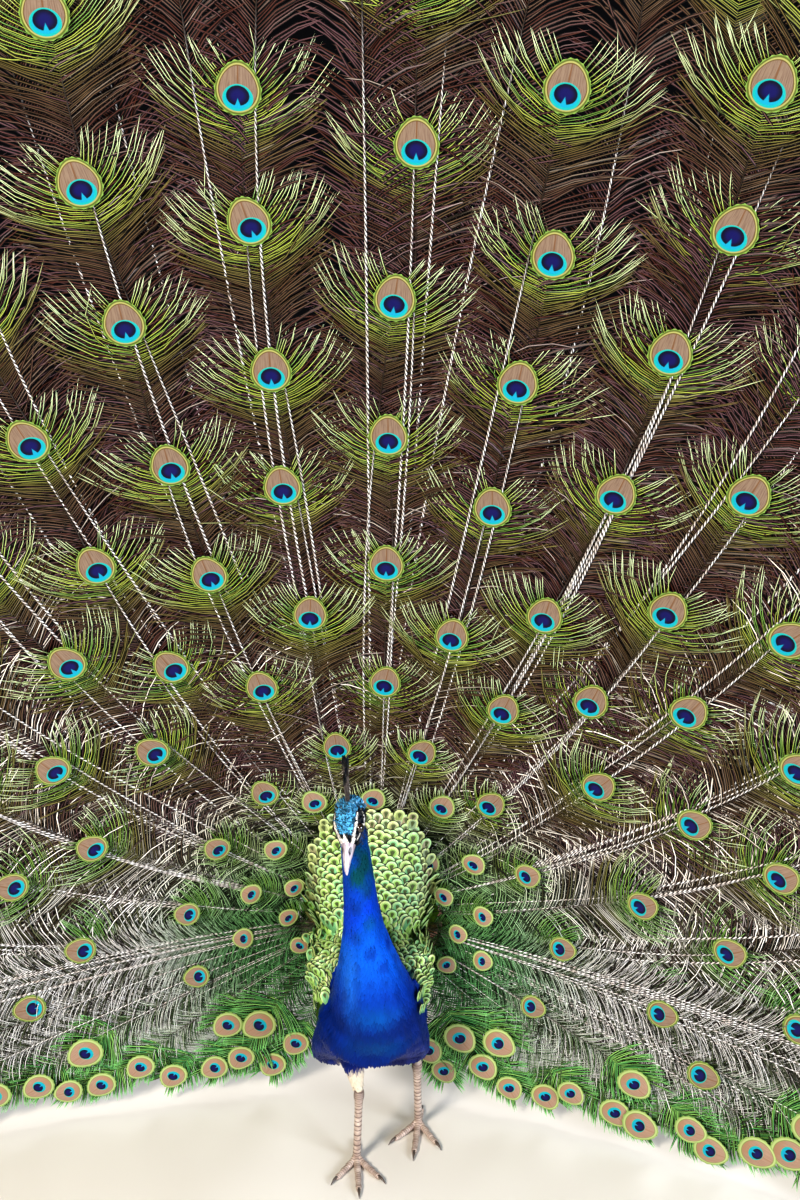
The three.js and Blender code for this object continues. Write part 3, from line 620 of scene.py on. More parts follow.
def train_feather(feather, reach, has_eye, sizes):
    """Barbs, shaft and eye of one upright feather."""
    length, wide = feather.length, float(eye_width(reach)) * sizes.eye_scale
    young = float(step(0.1, 0.7, reach))
    dense = 0.95 * wide if has_eye else 0.5 * wide
    lowest = min(0.02, length * 0.2)
    middle = max(length - 2.4 * wide, lowest)
    beyond = 0.42 * wide if has_eye else 0
    for first, last, pitch, width, stations in (
        (lowest, middle, sizes.barb_spacing, 0.0036, LOOSE_STATIONS),
        (middle, length - dense, sizes.barb_spacing * 0.62, 0.0030, LOOSE_STATIONS),
        (max(length - dense, 0), length + beyond, sizes.flare_spacing, 0.0022, FLARE_STATIONS),
    ):
        if last - first < pitch:
            continue
        starts = np.arange(first, last, pitch)
        below = (length - starts) / wide
        lean, bend, long = (np.interp(below, BARB_COURSE[:, 0], row) for row in BARB_COURSE.T[1:])
        long = long * wide * (0.80 + 0.20 * young) * (0.62 + 0.38 * step(0.0, 0.30, starts))
        if not has_eye:
            lean, bend = lean * 0.75, np.maximum(bend, 4)
            long = np.maximum(long, 0.070 * step(2.5, 0.0, below))
        flare = step(1.35, 0.75, below) * (1.0 if has_eye else 0.6)
        feather.barbs(0, starts, long, lean, bend, width, flare, stations)
    feather.shaft(1, length - (0.3 * wide if has_eye else 0.004), 0.0036)
    if has_eye:
        near = float(step(0.30, 0.17, reach))
        level = float(step(0.6, 0.95, abs(feather.path[-1, 0]) / reach))
        tall = wide * (1.16 - 0.12 * near - 0.18 * level)
        turn = feather.rng.normal(0, 0.08)
        feather.eye(2, wide, tall, turn=turn, small=0.8 * near + 0.2 * level)


# The feathers of the lower edge stand between these distances from the midline, on each side.
EDGE_FROM, EDGE_TO, EDGE_COUNT = 0.098, 1.085, 20


def edge_piece(side, first, last, name, sizes, materials):
    """The feathers whose tips make the level lower edge, from one of them to another."""
    rng = np.random.default_rng(sizes.seed * 100 + 70 + first + (side > 0) * 7)
    store = Store()
    plan = []
    for i in range(first, last):
        line = (i + 0.5 + rng.uniform(-0.22, 0.22)) / EDGE_COUNT
        aside = EDGE_FROM + (EDGE_TO - EDGE_FROM) * line
        plan.append((side * aside, 0.058 + 0.022 * (i % 3 == 1) + rng.normal(0, 0.005), 0.0))
        # a few stand higher, and more of them where the edge is far from the body
        if i % 5 == 0 or i == 1:
            plan.append((side * (aside + 0.02), 0.135 + rng.normal(0, 0.006), -0.006))
        if i >= 12:
            plan.append((side * (aside - 0.02), 0.185 + 0.05 * (i % 2), -0.008))
        # one more beside the body, where the floor would show through
        if i == 0:
            plan.append((side * 0.100, 0.092, -0.003))
    for i, (aside, height, ahead) in enumerate(plan):
        up = float(edge_height(aside, height))
        tip, angle = hypot(aside, up), atan2(aside, up)
        path = radial_path(lambda reach: angle, tip, rng, sway=1.2)
        depth = np.full(STEM_POINTS, ahead - 0.004 + rng.normal(0, 0.002) - 0.004 * (i % 2))
        strip = (i / len(plan), (i + 1) / len(plan))
        edge_feather(Feather(store, rng, path, depth, strip), tip, sizes)
    piece = store.piece(name + "_feathers", materials)
    finish_piece(piece, [name])


def edge_feather(feather, reach, sizes):
    """A short-barbed feather with an open eye and a dense green fringe round its tip."""
    length = feather.length
    wide = (0.045 + 0.008 * float(step(0.2, 1.0, reach))) * sizes.eye_scale
    wide *= feather.rng.uniform(0.78, 1.12)
    last = length - 0.9 * wide
    starts = np.arange(0.02, last, sizes.barb_spacing * 0.85)
    long = 0.048 * (0.6 + 0.4 * step(0.0, 0.25, starts))
    flare = 0.35 * step(0.20, 0.05, length - starts)
    feather.barbs(0, starts, long, 40.0, 32.0, 0.0018, flare, LOOSE_STATIONS)
    starts = np.arange(last, length + 0.45 * wide, sizes.flare_spacing * 0.52)
    share = (starts - last) / (starts[-1] - last)
    long = (1.2 - 0.35 * share) * wide + 0.005
    lean, bend = 82 - 70 * share, -24 + 24 * share
    feather.barbs(0, starts, long, lean, bend, 0.0030, 1.0, FLARE_STATIONS)
    feather.shaft(1, length - 0.3 * wide, 0.0026)
    feather.eye(2, wide, wide * 1.02, turn=feather.rng.normal(0, 0.2), small=1.0)


# ---------- skin ----------
FLESH = [
    "trunk", "neck_lower", "neck_upper", "head", "thigh_right", "thigh_left",
    "wing_right", "wing_left", "train_base", "back_shield", "undertail",
]
VOXEL = 0.0026  # grain of the skin's first mesh
EYE_AT = (0.009, 0.0015, 0.0156)  # ahead, above and aside of the head's centre
LINE_EDGE = 0.0006  # how softly the lines of bare skin end
EYE_BALL = 0.0062
# Each leg's places from the bird's own middle, and where its toes point, in degrees.
LEGS = {
    "right": {"foot": (-0.020, -0.094), "hock": (-0.015, -0.112, 0.134),
              "knee": (-0.036, -0.066, 0.232), "heading": 4},
    "left": {"foot": (0.069, -0.018), "hock": (0.066, -0.071, 0.151),
             "knee": (0.046, -0.034, 0.238), "heading": -6},
}
# The blue neck and breast: how far they reach to each side of their middle, by height.
CONE = np.array([
    (0.150, 0.000, 0.090), (0.222, 0.003, 0.082), (0.250, 0.005, 0.075), (0.282, 0.006, 0.065),
    (0.314, 0.005, 0.056), (0.348, 0.001, 0.046), (0.388, -0.003, 0.036), (0.432, -0.008, 0.028),
    (0.476, -0.011, 0.025), (0.524, -0.015, 0.024), (0.562, -0.018, 0.022), (0.640, -0.019, 0.040),
])


def on_head(ahead, above, aside=0.0):
    parts = [np.asarray(v, float)[..., None] for v in (ahead, above, aside)]
    return HEAD_CENTRE + OFFSET + parts[0] * AHEAD + parts[1] * ABOVE + parts[2] * ASIDE


def head_parts(points):
    """Ahead, above and aside of points, from the head's centre, and their distance from it."""
    away = points - OFFSET - HEAD_CENTRE
    return away @ AHEAD, away @ ABOVE, away @ ASIDE, np.linalg.norm(away, axis=1)


def past_cone(points):
    """How far outside the blue neck and breast a place is, seen from the front."""
    x, _, z = (points - OFFSET).T
    middle, half = (np.interp(z, CONE[:, 0], CONE[:, i]) for i in (1, 2))
    return np.abs(x - middle) - half


def copied_solids(names):
    """One mesh of these solids, each with its doubles merged."""
    whole = bmesh.new()
    for name in names:
        part = bmesh.new()
        part.from_mesh(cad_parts[name].data)
        bmesh.ops.remove_doubles(part, verts=part.verts, dist=1e-5)
        carried = bpy.data.meshes.new("part")
        part.to_mesh(carried)
        whole.from_mesh(carried)
        part.free()
        bpy.data.meshes.remove(carried)
    mesh = bpy.data.meshes.new("solids")
    whole.to_mesh(mesh)
    whole.free()
    return mesh


def read_points(values, key):
    found = np.empty(len(values) * 3, np.float32)
    values.foreach_get(key, found)
    return found.reshape(-1, 3).astype(float)


def move_points(mesh, points):
    mesh.vertices.foreach_set("co", points.astype(np.float32).ravel())
    mesh.update()


def smoothed(mesh, points, rounds, weight):
    """Points moved towards their neighbours' mean and back a little, so the form keeps size."""
    edges = np.empty(len(mesh.edges) * 2, np.int32)
    mesh.edges.foreach_get("vertices", edges)
    a, b = edges.reshape(-1, 2).T
    n = len(points)
    degree = np.maximum(np.bincount(np.concatenate([a, b]), minlength=n), 1)[:, None]
    for turn in range(rounds):
        columns = [
            np.bincount(a, points[b, i], n) + np.bincount(b, points[a, i], n) for i in range(3)
        ]
        push = 0.55 if turn % 2 == 0 else -0.50
        points = points + (np.stack(columns, -1) / degree - points) * (push * weight)[:, None]
    return points


def evaluated_copy(made):
    """The object's mesh with its modifiers applied, and the object gone."""
    graph = bpy.context.evaluated_depsgraph_get()
    mesh = bpy.data.meshes.new_from_object(made.evaluated_get(graph), depsgraph=graph)
    old = made.data
    bpy.data.objects.remove(made)
    bpy.data.meshes.remove(old)
    return mesh


def near_line(ahead, above, line):
    """1 on a line across the side of the head, 0 past its half width."""
    best = np.full(len(ahead), 1.0)
    for (a0, u0, r0), (a1, u1, r1) in zip(line, line[1:]):
        d = np.array([a1 - a0, u1 - u0])
        t = np.clip(((ahead - a0) * d[0] + (above - u0) * d[1]) / (d @ d), 0, 1)
        gap = np.hypot(ahead - a0 - t * d[0], above - u0 - t * d[1])
        best = np.minimum(best, gap - (r0 + (r1 - r0) * t))
    return step(LINE_EDGE, -LINE_EDGE, best)


# Bare white skin on the side of the head: [ahead, arc up its side, half width].
BROW_LINE = [
    (0.036, -0.0050, 0.0010), (0.026, 0.0020, 0.0014), (0.018, 0.0078, 0.0016),
    (0.009, 0.0122, 0.0016), (0.000, 0.0140, 0.0014), (-0.007, 0.0130, 0.0008),
]
CHEEK_LINE = [
    (0.024, -0.0022, 0.0011), (0.016, -0.0016, 0.0019), (0.008, -0.0011, 0.0020),
    (0.000, -0.0004, 0.0018), (-0.007, 0.0030, 0.0014), (-0.013, 0.0080, 0.0009),
]


def face_marks(points):
    """Where the head is bare and white, where black, and where it wears crown feathers."""
    ahead, above, aside, far = head_parts(points)
    on = step(0.037, 0.032, far)
    arc = np.arctan2(above, np.abs(aside)) * np.hypot(above, aside) - 0.0010 * (aside < 0)
    white = np.maximum(near_line(ahead, arc, BROW_LINE), near_line(ahead, arc, CHEEK_LINE))
    white = np.maximum(white, near_line(ahead, arc - 0.0014 * (aside < 0), BROW_LINE))
    wedge = step(0.0004, -0.0004, np.abs(aside) - 0.42 * (ahead - 0.0185))
    wedge = wedge * step(0.0, 0.002, above)
    brow = np.interp(ahead, *zip(*[(a, u) for a, u, _ in BROW_LINE[::-1]]))
    brow = brow + 0.0018 + 0.0022 * (aside < 0)
    over = step(brow, brow + 0.0014, arc)
    lores = step(-0.001, 0.001, ahead - 0.0200 - 0.35 * np.abs(np.abs(aside) - 0.0045))
    nape = step(-0.012, -0.018, ahead) * step(-0.012, -0.004, above)
    crown = np.maximum(over * (1 - lores), nape)
    stripe = step(-0.016, -0.012, above) * step(-0.018, -0.012, ahead)
    black = np.maximum(stripe * (1 - over), lores)
    white = np.maximum(white, wedge) * on
    return white, black * on, crown * on * (1 - white)


def plumage(points):
    """Colour of skin and coat at points of the bird, region by region."""
    x, y, z = (points - OFFSET).T
    ripple = np.sin(x * 173 + 1.1) * np.sin(z * 139 + 0.4) * np.sin(y * 151 + 2.0)

    def lay(base, cover, colour):
        return base + (np.array(linear(colour)) - base) * np.clip(cover, 0, 1)[:, None]

    def spot(cx, cz, rx, rz):
        return np.exp(-(((x - cx) / rx) ** 2) - ((z - cz) / rz) ** 2)

    waved = z + 0.02 * ripple
    blue = np.array(bpy.context.scene.peacock_colours.blue)
    tint = np.tile(blue, (len(points), 1))
    for cover, colour in (
        (0.8 * step(0.43, 0.38, waved) * step(0.29, 0.36, z), "#0c68e4"),
        (step(0.395, 0.265, waved), "#042470"),
        (step(0.205, 0.165, z + 0.01 * ripple), "#04175c"),
        (0.55 * step(0.43, 0.50, waved), "#0a48b0"),
        (0.55 * step(0.05, 0.50, ripple), "#062a88"),
    ):
        tint = lay(tint, cover, colour)
    # teal and blue mottles; the bright streak at -0.024 is a painted highlight on the side towards
    # the key lamp, and the dark teal at 0.022 high on the neck is painted shade on the far side
    for cx, cz, rx, rz, share, colour in (
        (0.002, 0.425, 0.018, 0.026, 0.4, "#0a70a6"),
        (-0.008, 0.520, 0.017, 0.036, 1.2, "#054c58"),
        (0.010, 0.300, 0.030, 0.016, 0.45, "#0a6cc0"),
        (0.012, 0.250, 0.034, 0.014, 0.25, "#0b6a9c"),
        (-0.024, 0.350, 0.010, 0.05, 0.35, "#2f8cff"),
        (0.022, 0.500, 0.010, 0.06, 0.6, "#08363c"),
    ):
        tint = lay(tint, share * spot(cx, cz, rx, rz) * (1 + 0.5 * ripple), colour)
    # the back and the neck's sides under the scales, the wings, the flanks and the rump
    mantle = step(-0.001, 0.003, past_cone(points)) * step(0.232, 0.245, z)
    back = np.maximum(step(-0.055, -0.030, y) * step(0.22, 0.24, z), mantle) * step(0.56, 0.5, z)
    wing = step(0.058, 0.066, np.abs(x)) * step(-0.015, 0.0, y)
    for cover, colour in (
        (back * (1 - step(0.36, 0.40, z) * step(-0.04, -0.08, y)), "#3d5a16"),
        (wing * step(0.30, 0.28, z) * step(0.205, 0.215, z), "#8d7450"),
        (step(0.212, 0.19, z) * step(-0.015, 0.005, y), "#07124a"),
        (step(0.075, 0.10, y), "#4b3f33"),
    ):
        tint = lay(tint, cover, colour)
    for leg in LEGS.values():
        hock, knee = np.array(leg["hock"]), np.array(leg["knee"])
        run, away = knee - hock, points - OFFSET - hock
        t = np.clip(away @ run / (run @ run), 0, 1)
        gap = np.linalg.norm(away - t[:, None] * run, axis=1)
        on_leg = step(0.010 + 0.040 * t, 0.004 + 0.034 * t, gap) * step(0.176, 0.166, z)
        tint = lay(tint, on_leg, "#ddd0bb")
    white, black, crown = face_marks(points)
    on_head_side = 0.7 * step(0.042, 0.034, head_parts(points)[3])
    for cover, colour in (
        (on_head_side, "#0a3f72"), (crown, "#66c6ff"), (black, "#06101e"), (white, "#f6f2ec"),
    ):
        tint = lay(tint, cover, colour)
    return tint


def box_unwrap(mesh):
    """The skin's own unwrap: each region's faces laid flat along the way they face most."""
    points = read_points(mesh.vertices, "co")
    count = len(mesh.polygons)
    x, y, z = (read_points(mesh.polygons, "center") - OFFSET).T
    normal = read_points(mesh.polygons, "normal")
    region = np.select(
        [z > 0.545, z > 0.352, (z < 0.19) & (x < 0.02), z < 0.19, y > 0.03], [0, 1, 2, 3, 4], 5
    )
    axis = np.abs(normal).argmax(1)
    facing = axis * 2 + (normal[np.arange(count), axis] > 0)
    total, vertex = np.empty(count, np.int32), np.empty(len(mesh.loops), np.int32)
    mesh.polygons.foreach_get("loop_total", total)
    mesh.loops.foreach_get("vertex_index", vertex)
    face = np.repeat(np.arange(count), total)
    uv = np.zeros((len(vertex), 2))
    for r in range(6):
        for f in range(6):
            here = (region[face] == r) & (facing[face] == f)
            if not here.any():
                continue
            flat = np.delete(points[vertex[here]], f // 2, 1)
            low, high = flat.min(0), flat.max(0)
            uv[here] = (np.array([f, r]) + 0.04 + (flat - low) / (high - low).max() * 0.92) / 6
    mesh.uv_layers.new(name=BAKE).uv.foreach_set("vector", uv.astype(np.float32).ravel())


def lie_of(points):
    """The way the plumage lies at points of the bird: from the bill backwards and down."""
    x, y, z = (points - OFFSET).T
    one, none = np.ones(len(points)), np.zeros(len(points))
    lie = np.stack([none, 0.15 * one, -one], -1)
    low = step(0.30, 0.20, z)[:, None]
    lie = lie * (1 - low) + np.stack([x * 3, 0.35 * one, -0.9 * one], -1) * low
    rear = step(-0.03, 0.04, y)[:, None]
    lie = lie * (1 - rear) + np.stack([x * 5, 0.6 * one, 0.7 * one], -1) * rear
    leg = step(0.19, 0.17, z)[:, None]
    lie = lie * (1 - leg) + np.stack([none, 0.1 * one, -one], -1) * leg
    head = step(0.048, 0.036, head_parts(points)[3])[:, None]
    lie = lie * (1 - head) - (AHEAD + 0.25 * ABOVE) * head
    return lie / np.maximum(np.linalg.norm(lie, axis=1, keepdims=True), 1e-6)


def skin_mesh(coat):
    """The solids of flesh grown into one smooth closed skin, sunk by the coat's depth."""
    made = link_object("skin_solids", copied_solids(FLESH))
    fuse = made.modifiers.new("fuse", "REMESH")
    fuse.mode, fuse.voxel_size = "VOXEL", VOXEL
    mesh = evaluated_copy(made)
    points = read_points(mesh.vertices, "co")
    far = head_parts(points)[3]
    # the solids' facets melt away, least on the head, whose forms are small
    move_points(mesh, smoothed(mesh, points, 60, 0.12 + 0.88 * step(0.034, 0.060, far)))
    work = bmesh.new()
    work.from_mesh(mesh)
    centre = Vector(HEAD_CENTRE + OFFSET)
    # the head's mesh is made finer, and its face finer still
    for reach in (0.046, 0.034):
        edges = [e for e in work.edges if (e.verts[0].co - centre).length < reach]
        bmesh.ops.subdivide_edges(work, edges=edges, cuts=1, use_grid_fill=True)
    bmesh.ops.triangulate(work, faces=[f for f in work.faces if len(f.verts) > 4])
    work.to_mesh(mesh)
    work.free()
    points = read_points(mesh.vertices, "co")
    far = head_parts(points)[3]
    move_points(mesh, smoothed(mesh, points, 10, step(0.052, 0.040, far)))
    points, normals = read_points(mesh.vertices, "co"), read_points(mesh.vertex_normals, "vector")
    depth = coat + (0.0008 - coat) * step(0.055, 0.034, far)
    move_points(mesh, face_folds(points - normals * depth[:, None], normals))
    return mesh


def face_folds(points, normals):
    """Eye sockets with lids, a brow ridge over each eye and a groove behind the gape."""
    ahead, above, aside, _ = head_parts(points)
    gap = np.hypot(ahead - EYE_AT[0], (above - EYE_AT[1]) * 1.12)
    lid = np.exp(-(((gap - 0.0066) / 0.0011) ** 2)) * 0.0009
    socket = step(0.0058, 0.0046, gap) * 0.0050
    brow = np.exp(-(((above - 0.0095) / 0.0022) ** 2) - ((ahead - 0.010) / 0.008) ** 2) * 0.0010
    here = (np.abs(aside) > 0.006) & (gap < 0.016)
    groove = np.exp(-(((above + 0.0072) / 0.0011) ** 2)) * step(0.012, 0.022, ahead) * 0.0007
    return points + normals * (np.where(here, lid + brow - socket, 0.0) - groove)[:, None]


def skin_material():
    """Bird skin with the colours of the coat that stands on it."""
    material, add, sockets = new_material(
        "pigmented_skin", Roughness=0.62, Specular_IOR_Level=0.05
    )
    tint = add(GIVEN, attribute_name="tint").node.outputs["Vector"]
    place = add(PLACE).node.outputs["Object"]
    mottled = add(RANGE, (add(NOISE, (place, grain(2.4))), 0.3, 0.7))
    shade = add(MIX, (mottled, "#9a9a9a", "#ffffff"))
    link(add(TIMES, (1.0, tint, shade)), sockets["Base Color"])
    bumps = add("ShaderNodeBump", {
        "Height": add(NOISE, (place, grain(1.11), 1.0)), "Strength": 0.35, "Distance": 0.0006,
    })
    link(bumps, sockets["Normal"])
    return material


# ---------- coat ----------
def vane_mesh(name, outline, columns, camber, curl, fringe=0.0, sag=0.10):
    """A feather vane of unit length along +Y over its root, as a cambered, curled sheet."""
    y, half = np.array(outline).T[..., None]
    x = np.linspace(-1, 1, columns)[None]
    ragged = fringe * np.cos(np.arange(columns) * pi)[None] * step(0.75, 1.0, y)
    rise = camber * (1 - x**2) * half + curl * y**2
    points = np.stack([x * half, y - sag * x**2 * y + ragged, rise], -1)
    flat = np.stack([x + 0 * y, y + 0 * x, x * half * 2], -1)
    faces, marks = [grid_quads(len(y), columns)], {"vane": flat.reshape(-1, 3)}
    return mesh_piece(name, points.reshape(-1, 3), faces, [], attributes=marks)


def coat_tree():
    """Vanes on points: each stands on its point's normal, lies its way and is lifted a little."""
    tree = bpy.data.node_groups.new("vanes_on_points", "GeometryNodeTree")
    add = partial(node, tree)
    for name, kind in (
        ("Geometry", "Geometry"), ("Vane", "Object"), ("Spacing", "Float"), ("Length", "Float"),
        ("Width", "Float"), ("Lift", "Float"), ("Stray", "Float"), ("Seed", "Int"),
        ("Scattered", "Bool"), ("Finish", "Material"),
    ):
        tree.interface.new_socket(name=name, in_out="INPUT", socket_type="NodeSocket" + kind)
    tree.interface.new_socket(name="Geometry", in_out="OUTPUT", socket_type="NodeSocketGeometry")
    given = add("NodeGroupInput").node.outputs
    seed = given["Seed"]
    kept, read = "GeometryNodeStoreNamedAttribute", "GeometryNodeInputNamedAttribute"
    vector, number = {"data_type": "FLOAT_VECTOR"}, {"data_type": "FLOAT"}
    scatter = add("GeometryNodeDistributePointsOnFaces", {
        "Mesh": given["Geometry"], "Distance Min": given["Spacing"], "Density Max": 200000.0,
        "Density Factor": add(read, ("cover",), **number), "Seed": seed,
    }, distribute_method="POISSON").node
    up = scatter.outputs["Normal"]
    loose = add(kept, {"Geometry": scatter.outputs["Points"], "Name": "up", "Value": up}, **vector)
    here = add(read, (BAKE,), **vector)
    loose = add(kept, {"Geometry": loose, "Name": "root_uv", "Value": here}, **vector)
    chosen_points = (given["Scattered"], given["Geometry"], loose)
    points = add("GeometryNodeSwitch", chosen_points, input_type="GEOMETRY")
    facing = add("FunctionNodeAxesToRotation", (
        add(read, ("up",), **vector), add(read, ("lie",), **vector),
    ), primary_axis="Z", secondary_axis="Y")
    low, high = (
        add(JOIN, (
            add(kind, (given["Lift"], given["Stray"])),
            add(MULTIPLY, (given["Stray"], sign * 0.6)),
            add(MULTIPLY, (given["Stray"], sign * 1.6)),
        ))
        for kind, sign in ((SUBTRACT, -1), (ADD, 1))
    )
    lean = add(RANDOM, {"Min": low, "Max": high, "Seed": seed}, **vector)
    turned = add("FunctionNodeRotateRotation", (
        facing, add("FunctionNodeEulerToRotation", (lean,)),
    ), rotation_space="LOCAL")
    varied = add(RANDOM, {"Min": 0.86, "Max": 1.14, "Seed": seed}, **number)
    size = add(MULTIPLY, (add(read, ("size",), **number), varied))
    shape = add(JOIN, (given["Width"], given["Length"], given["Length"]))
    scale = add(VECTOR, (shape, size), operation="SCALE")
    tone = add(RANDOM, {"Min": 0.0, "Max": 1.0, "Seed": 5}, **number)
    points = add(kept, {"Geometry": points, "Name": "tone", "Value": tone}, **number)
    vane = add("GeometryNodeObjectInfo", (given["Vane"], True)).node.outputs["Geometry"]
    grown = add("GeometryNodeInstanceOnPoints", {
        "Points": points, "Instance": vane, "Rotation": turned, "Scale": scale,
    })
    real = add("GeometryNodeRealizeInstances", (grown,))
    flat = add(read, ("vane",), **vector)
    patch = add(VECTOR, (flat, (PATCH / 2, PATCH, 0.0)), operation="MULTIPLY")
    spot = add(VECTOR, (add(read, ("root_uv",), **vector), patch))
    real = add(
        kept, {"Geometry": real, "Name": BAKE, "Value": spot}, data_type="FLOAT2", domain="CORNER"
    )
    real = add("GeometryNodeSetMaterial", {"Geometry": real, "Material": given["Finish"]})
    add("NodeGroupOutput", (real,))
    return tree


def grow_coat(name, ground, vane, finish, slot, **inputs):
    """Grows one coat piece, scattered over a ground mesh of faces or one vane on each point."""
    inputs["Scattered"] = len(ground.polygons) > 0
    tree = bpy.data.node_groups.get("vanes_on_points") or coat_tree()
    made = bpy.data.objects.new(name + "_ground", ground)
    bpy.context.scene.collection.objects.link(made)
    modifier = made.modifiers.new("vanes", "NODES")
    modifier.node_group = tree
    keys = {s.name: s.identifier for s in tree.interface.items_tree if s.in_out == "INPUT"}
    for key, value in {"Vane": vane, "Finish": finish, **inputs}.items():
        modifier[keys[key]] = value
    mesh = evaluated_copy(made)
    if not len(mesh.polygons):
        raise RuntimeError(f"no vane grew on {name}")
    mesh.materials.clear()
    mesh.materials.append(finish)
    mesh.name = name
    vane_data = vane.data
    bpy.data.objects.remove(vane)
    bpy.data.meshes.remove(vane_data)
    finish_piece(link_object(name, mesh))


def ground_faces(skin, cover, size):
    """A copy of the skin whose cover says where a coat grows, and how big its vanes are."""
    mesh = skin.data.copy()
    mesh.materials.clear()
    points = read_points(mesh.vertices, "co")
    keep_values(mesh, "cover", cover(points))
    keep_values(mesh, "size", size(points))
    keep_values(mesh, "lie", lie_of(points))
    return mesh


def ground_points(name, rows):
    """A mesh of loose points from rows of (point, normal, lie, size, tint), one for each vane."""
    points, normals, lies, sizes, tints = (np.array(column) for column in zip(*rows))
    mesh = bpy.data.meshes.new(name)
    mesh.vertices.add(len(points))
    move_points(mesh, points)
    turn = np.arctan2(points[:, 0] - OFFSET[0], points[:, 2] - 0.1)
    flat = np.stack([0.5 + turn / 3.2, 0.1 + points[:, 2] * 1.5, 0 * turn], -1)
    for key, values in (
        ("up", normals), ("lie", lies), ("tint", tints), ("root_uv", flat), ("size", sizes),
    ):
        keep_values(mesh, key, values)
    return mesh


# Barbs stand 0.3 to 0.5 mm apart, too fine to show, so each vane is drawn with a few lines.
VANE_LINES, CREST_LINES, STIFF_LINES, STIFF_SLANT = 7.0, 9.0, 60.0, 7.0
COVERT_BARS = 2.2  # dark bars along a covert, which lie about 12 mm apart


def vane_material(name, gloss, metal, depth=0.35, barring=None, rim=None, shine=0.5):
    """A vane: keratin, darker at its root, partly its dull base and partly painted shade under the
    vane over it, with barb lines that run out to its edge.

    Barring is the colour of its dark bars. A rim is two colours and the heart's colour.
    """
    material, add, sockets = new_material(
        name, Roughness=gloss, Metallic=metal, Specular_IOR_Level=shine
    )
    colour = tint = add(GIVEN, attribute_name="tint").node.outputs["Vector"]
    tone = add(GIVEN, attribute_name="tone").node.outputs["Fac"]
    x, y, apart = parts_of(add, "vane")
    aside = add(ABSOLUTE, (x,))
    slope = add(SUBTRACT, (y, add(MULTIPLY, (aside, 0.45))))
    line = add(PINGPONG, (add(MULTIPLY, (slope, VANE_LINES)), 0.5))
    if barring:
        bars = add(PINGPONG, (add(MULTIPLY, (slope, COVERT_BARS)), 0.5))
        place = add(PLACE).node.outputs["Object"]
        rough = add(MULTIPLY_ADD, (add(NOISE, (place, grain(3.8))), 0.25, bars))
        colour = add(MIX, (add(RANGE, (rough, 0.30, 0.42)), barring, tint))
    if rim:
        one_rim, other_rim, heart_colour = rim
        edge = oval(add, apart, add(MAXIMUM, (y, 0.63)), 0.0, 0.63, 1.0, 0.37)
        ends = add(MIX, (add(RANGE, (tone, 0.2, 0.9)), one_rim, other_rim))
        wedge = add(SUBTRACT, (y, add(MULTIPLY, (aside, 0.9))))
        inside = add(RANGE, (edge, 0.50, 0.24))
        heart = add(MULTIPLY, (add(RANGE, (wedge, 0.30, 0.45)), inside))
        # a rim, a heart, and a black edge that is partly the vane's dark border and partly painted
        # shadow of the gap round it
        for share, over in (
            (add(RANGE, (edge, 0.40, 0.70)), ends), (heart, heart_colour),
            (add(RANGE, (edge, 0.82, 0.88)), "#0a0d03"),
        ):
            colour = add(MIX, (share, colour, over))
    dark = (*([1 - depth] * 3), 1.0)
    # darker along the barb lines, at the root (partly painted shade of the overlapping vane), and
    # by a random tone
    for share in (add(RANGE, (line, 0.05, 0.35)), add(RANGE, (y, 0.0, 0.55)), tone):
        colour = add(TIMES, (1.0, colour, add(MIX, (share, dark, "#ffffff"))))
    link(colour, sockets["Base Color"])
    return material


# Where a viewer stands, and how many degrees down they look.
CAMERA, CAMERA_DOWN = np.array([0.042, -2.0, 1.65]), 22.3
# The grid that the scaled cover is laid on: its step, its left and lower edges and its far ones,
# and how wide a gap it closes, in steps.
COVER_PITCH, COVER_LEFT, COVER_LOW = 0.004, -0.132, 0.200
COVER_RIGHT, COVER_HIGH, COVER_SPAN = 0.133, 0.530, 21


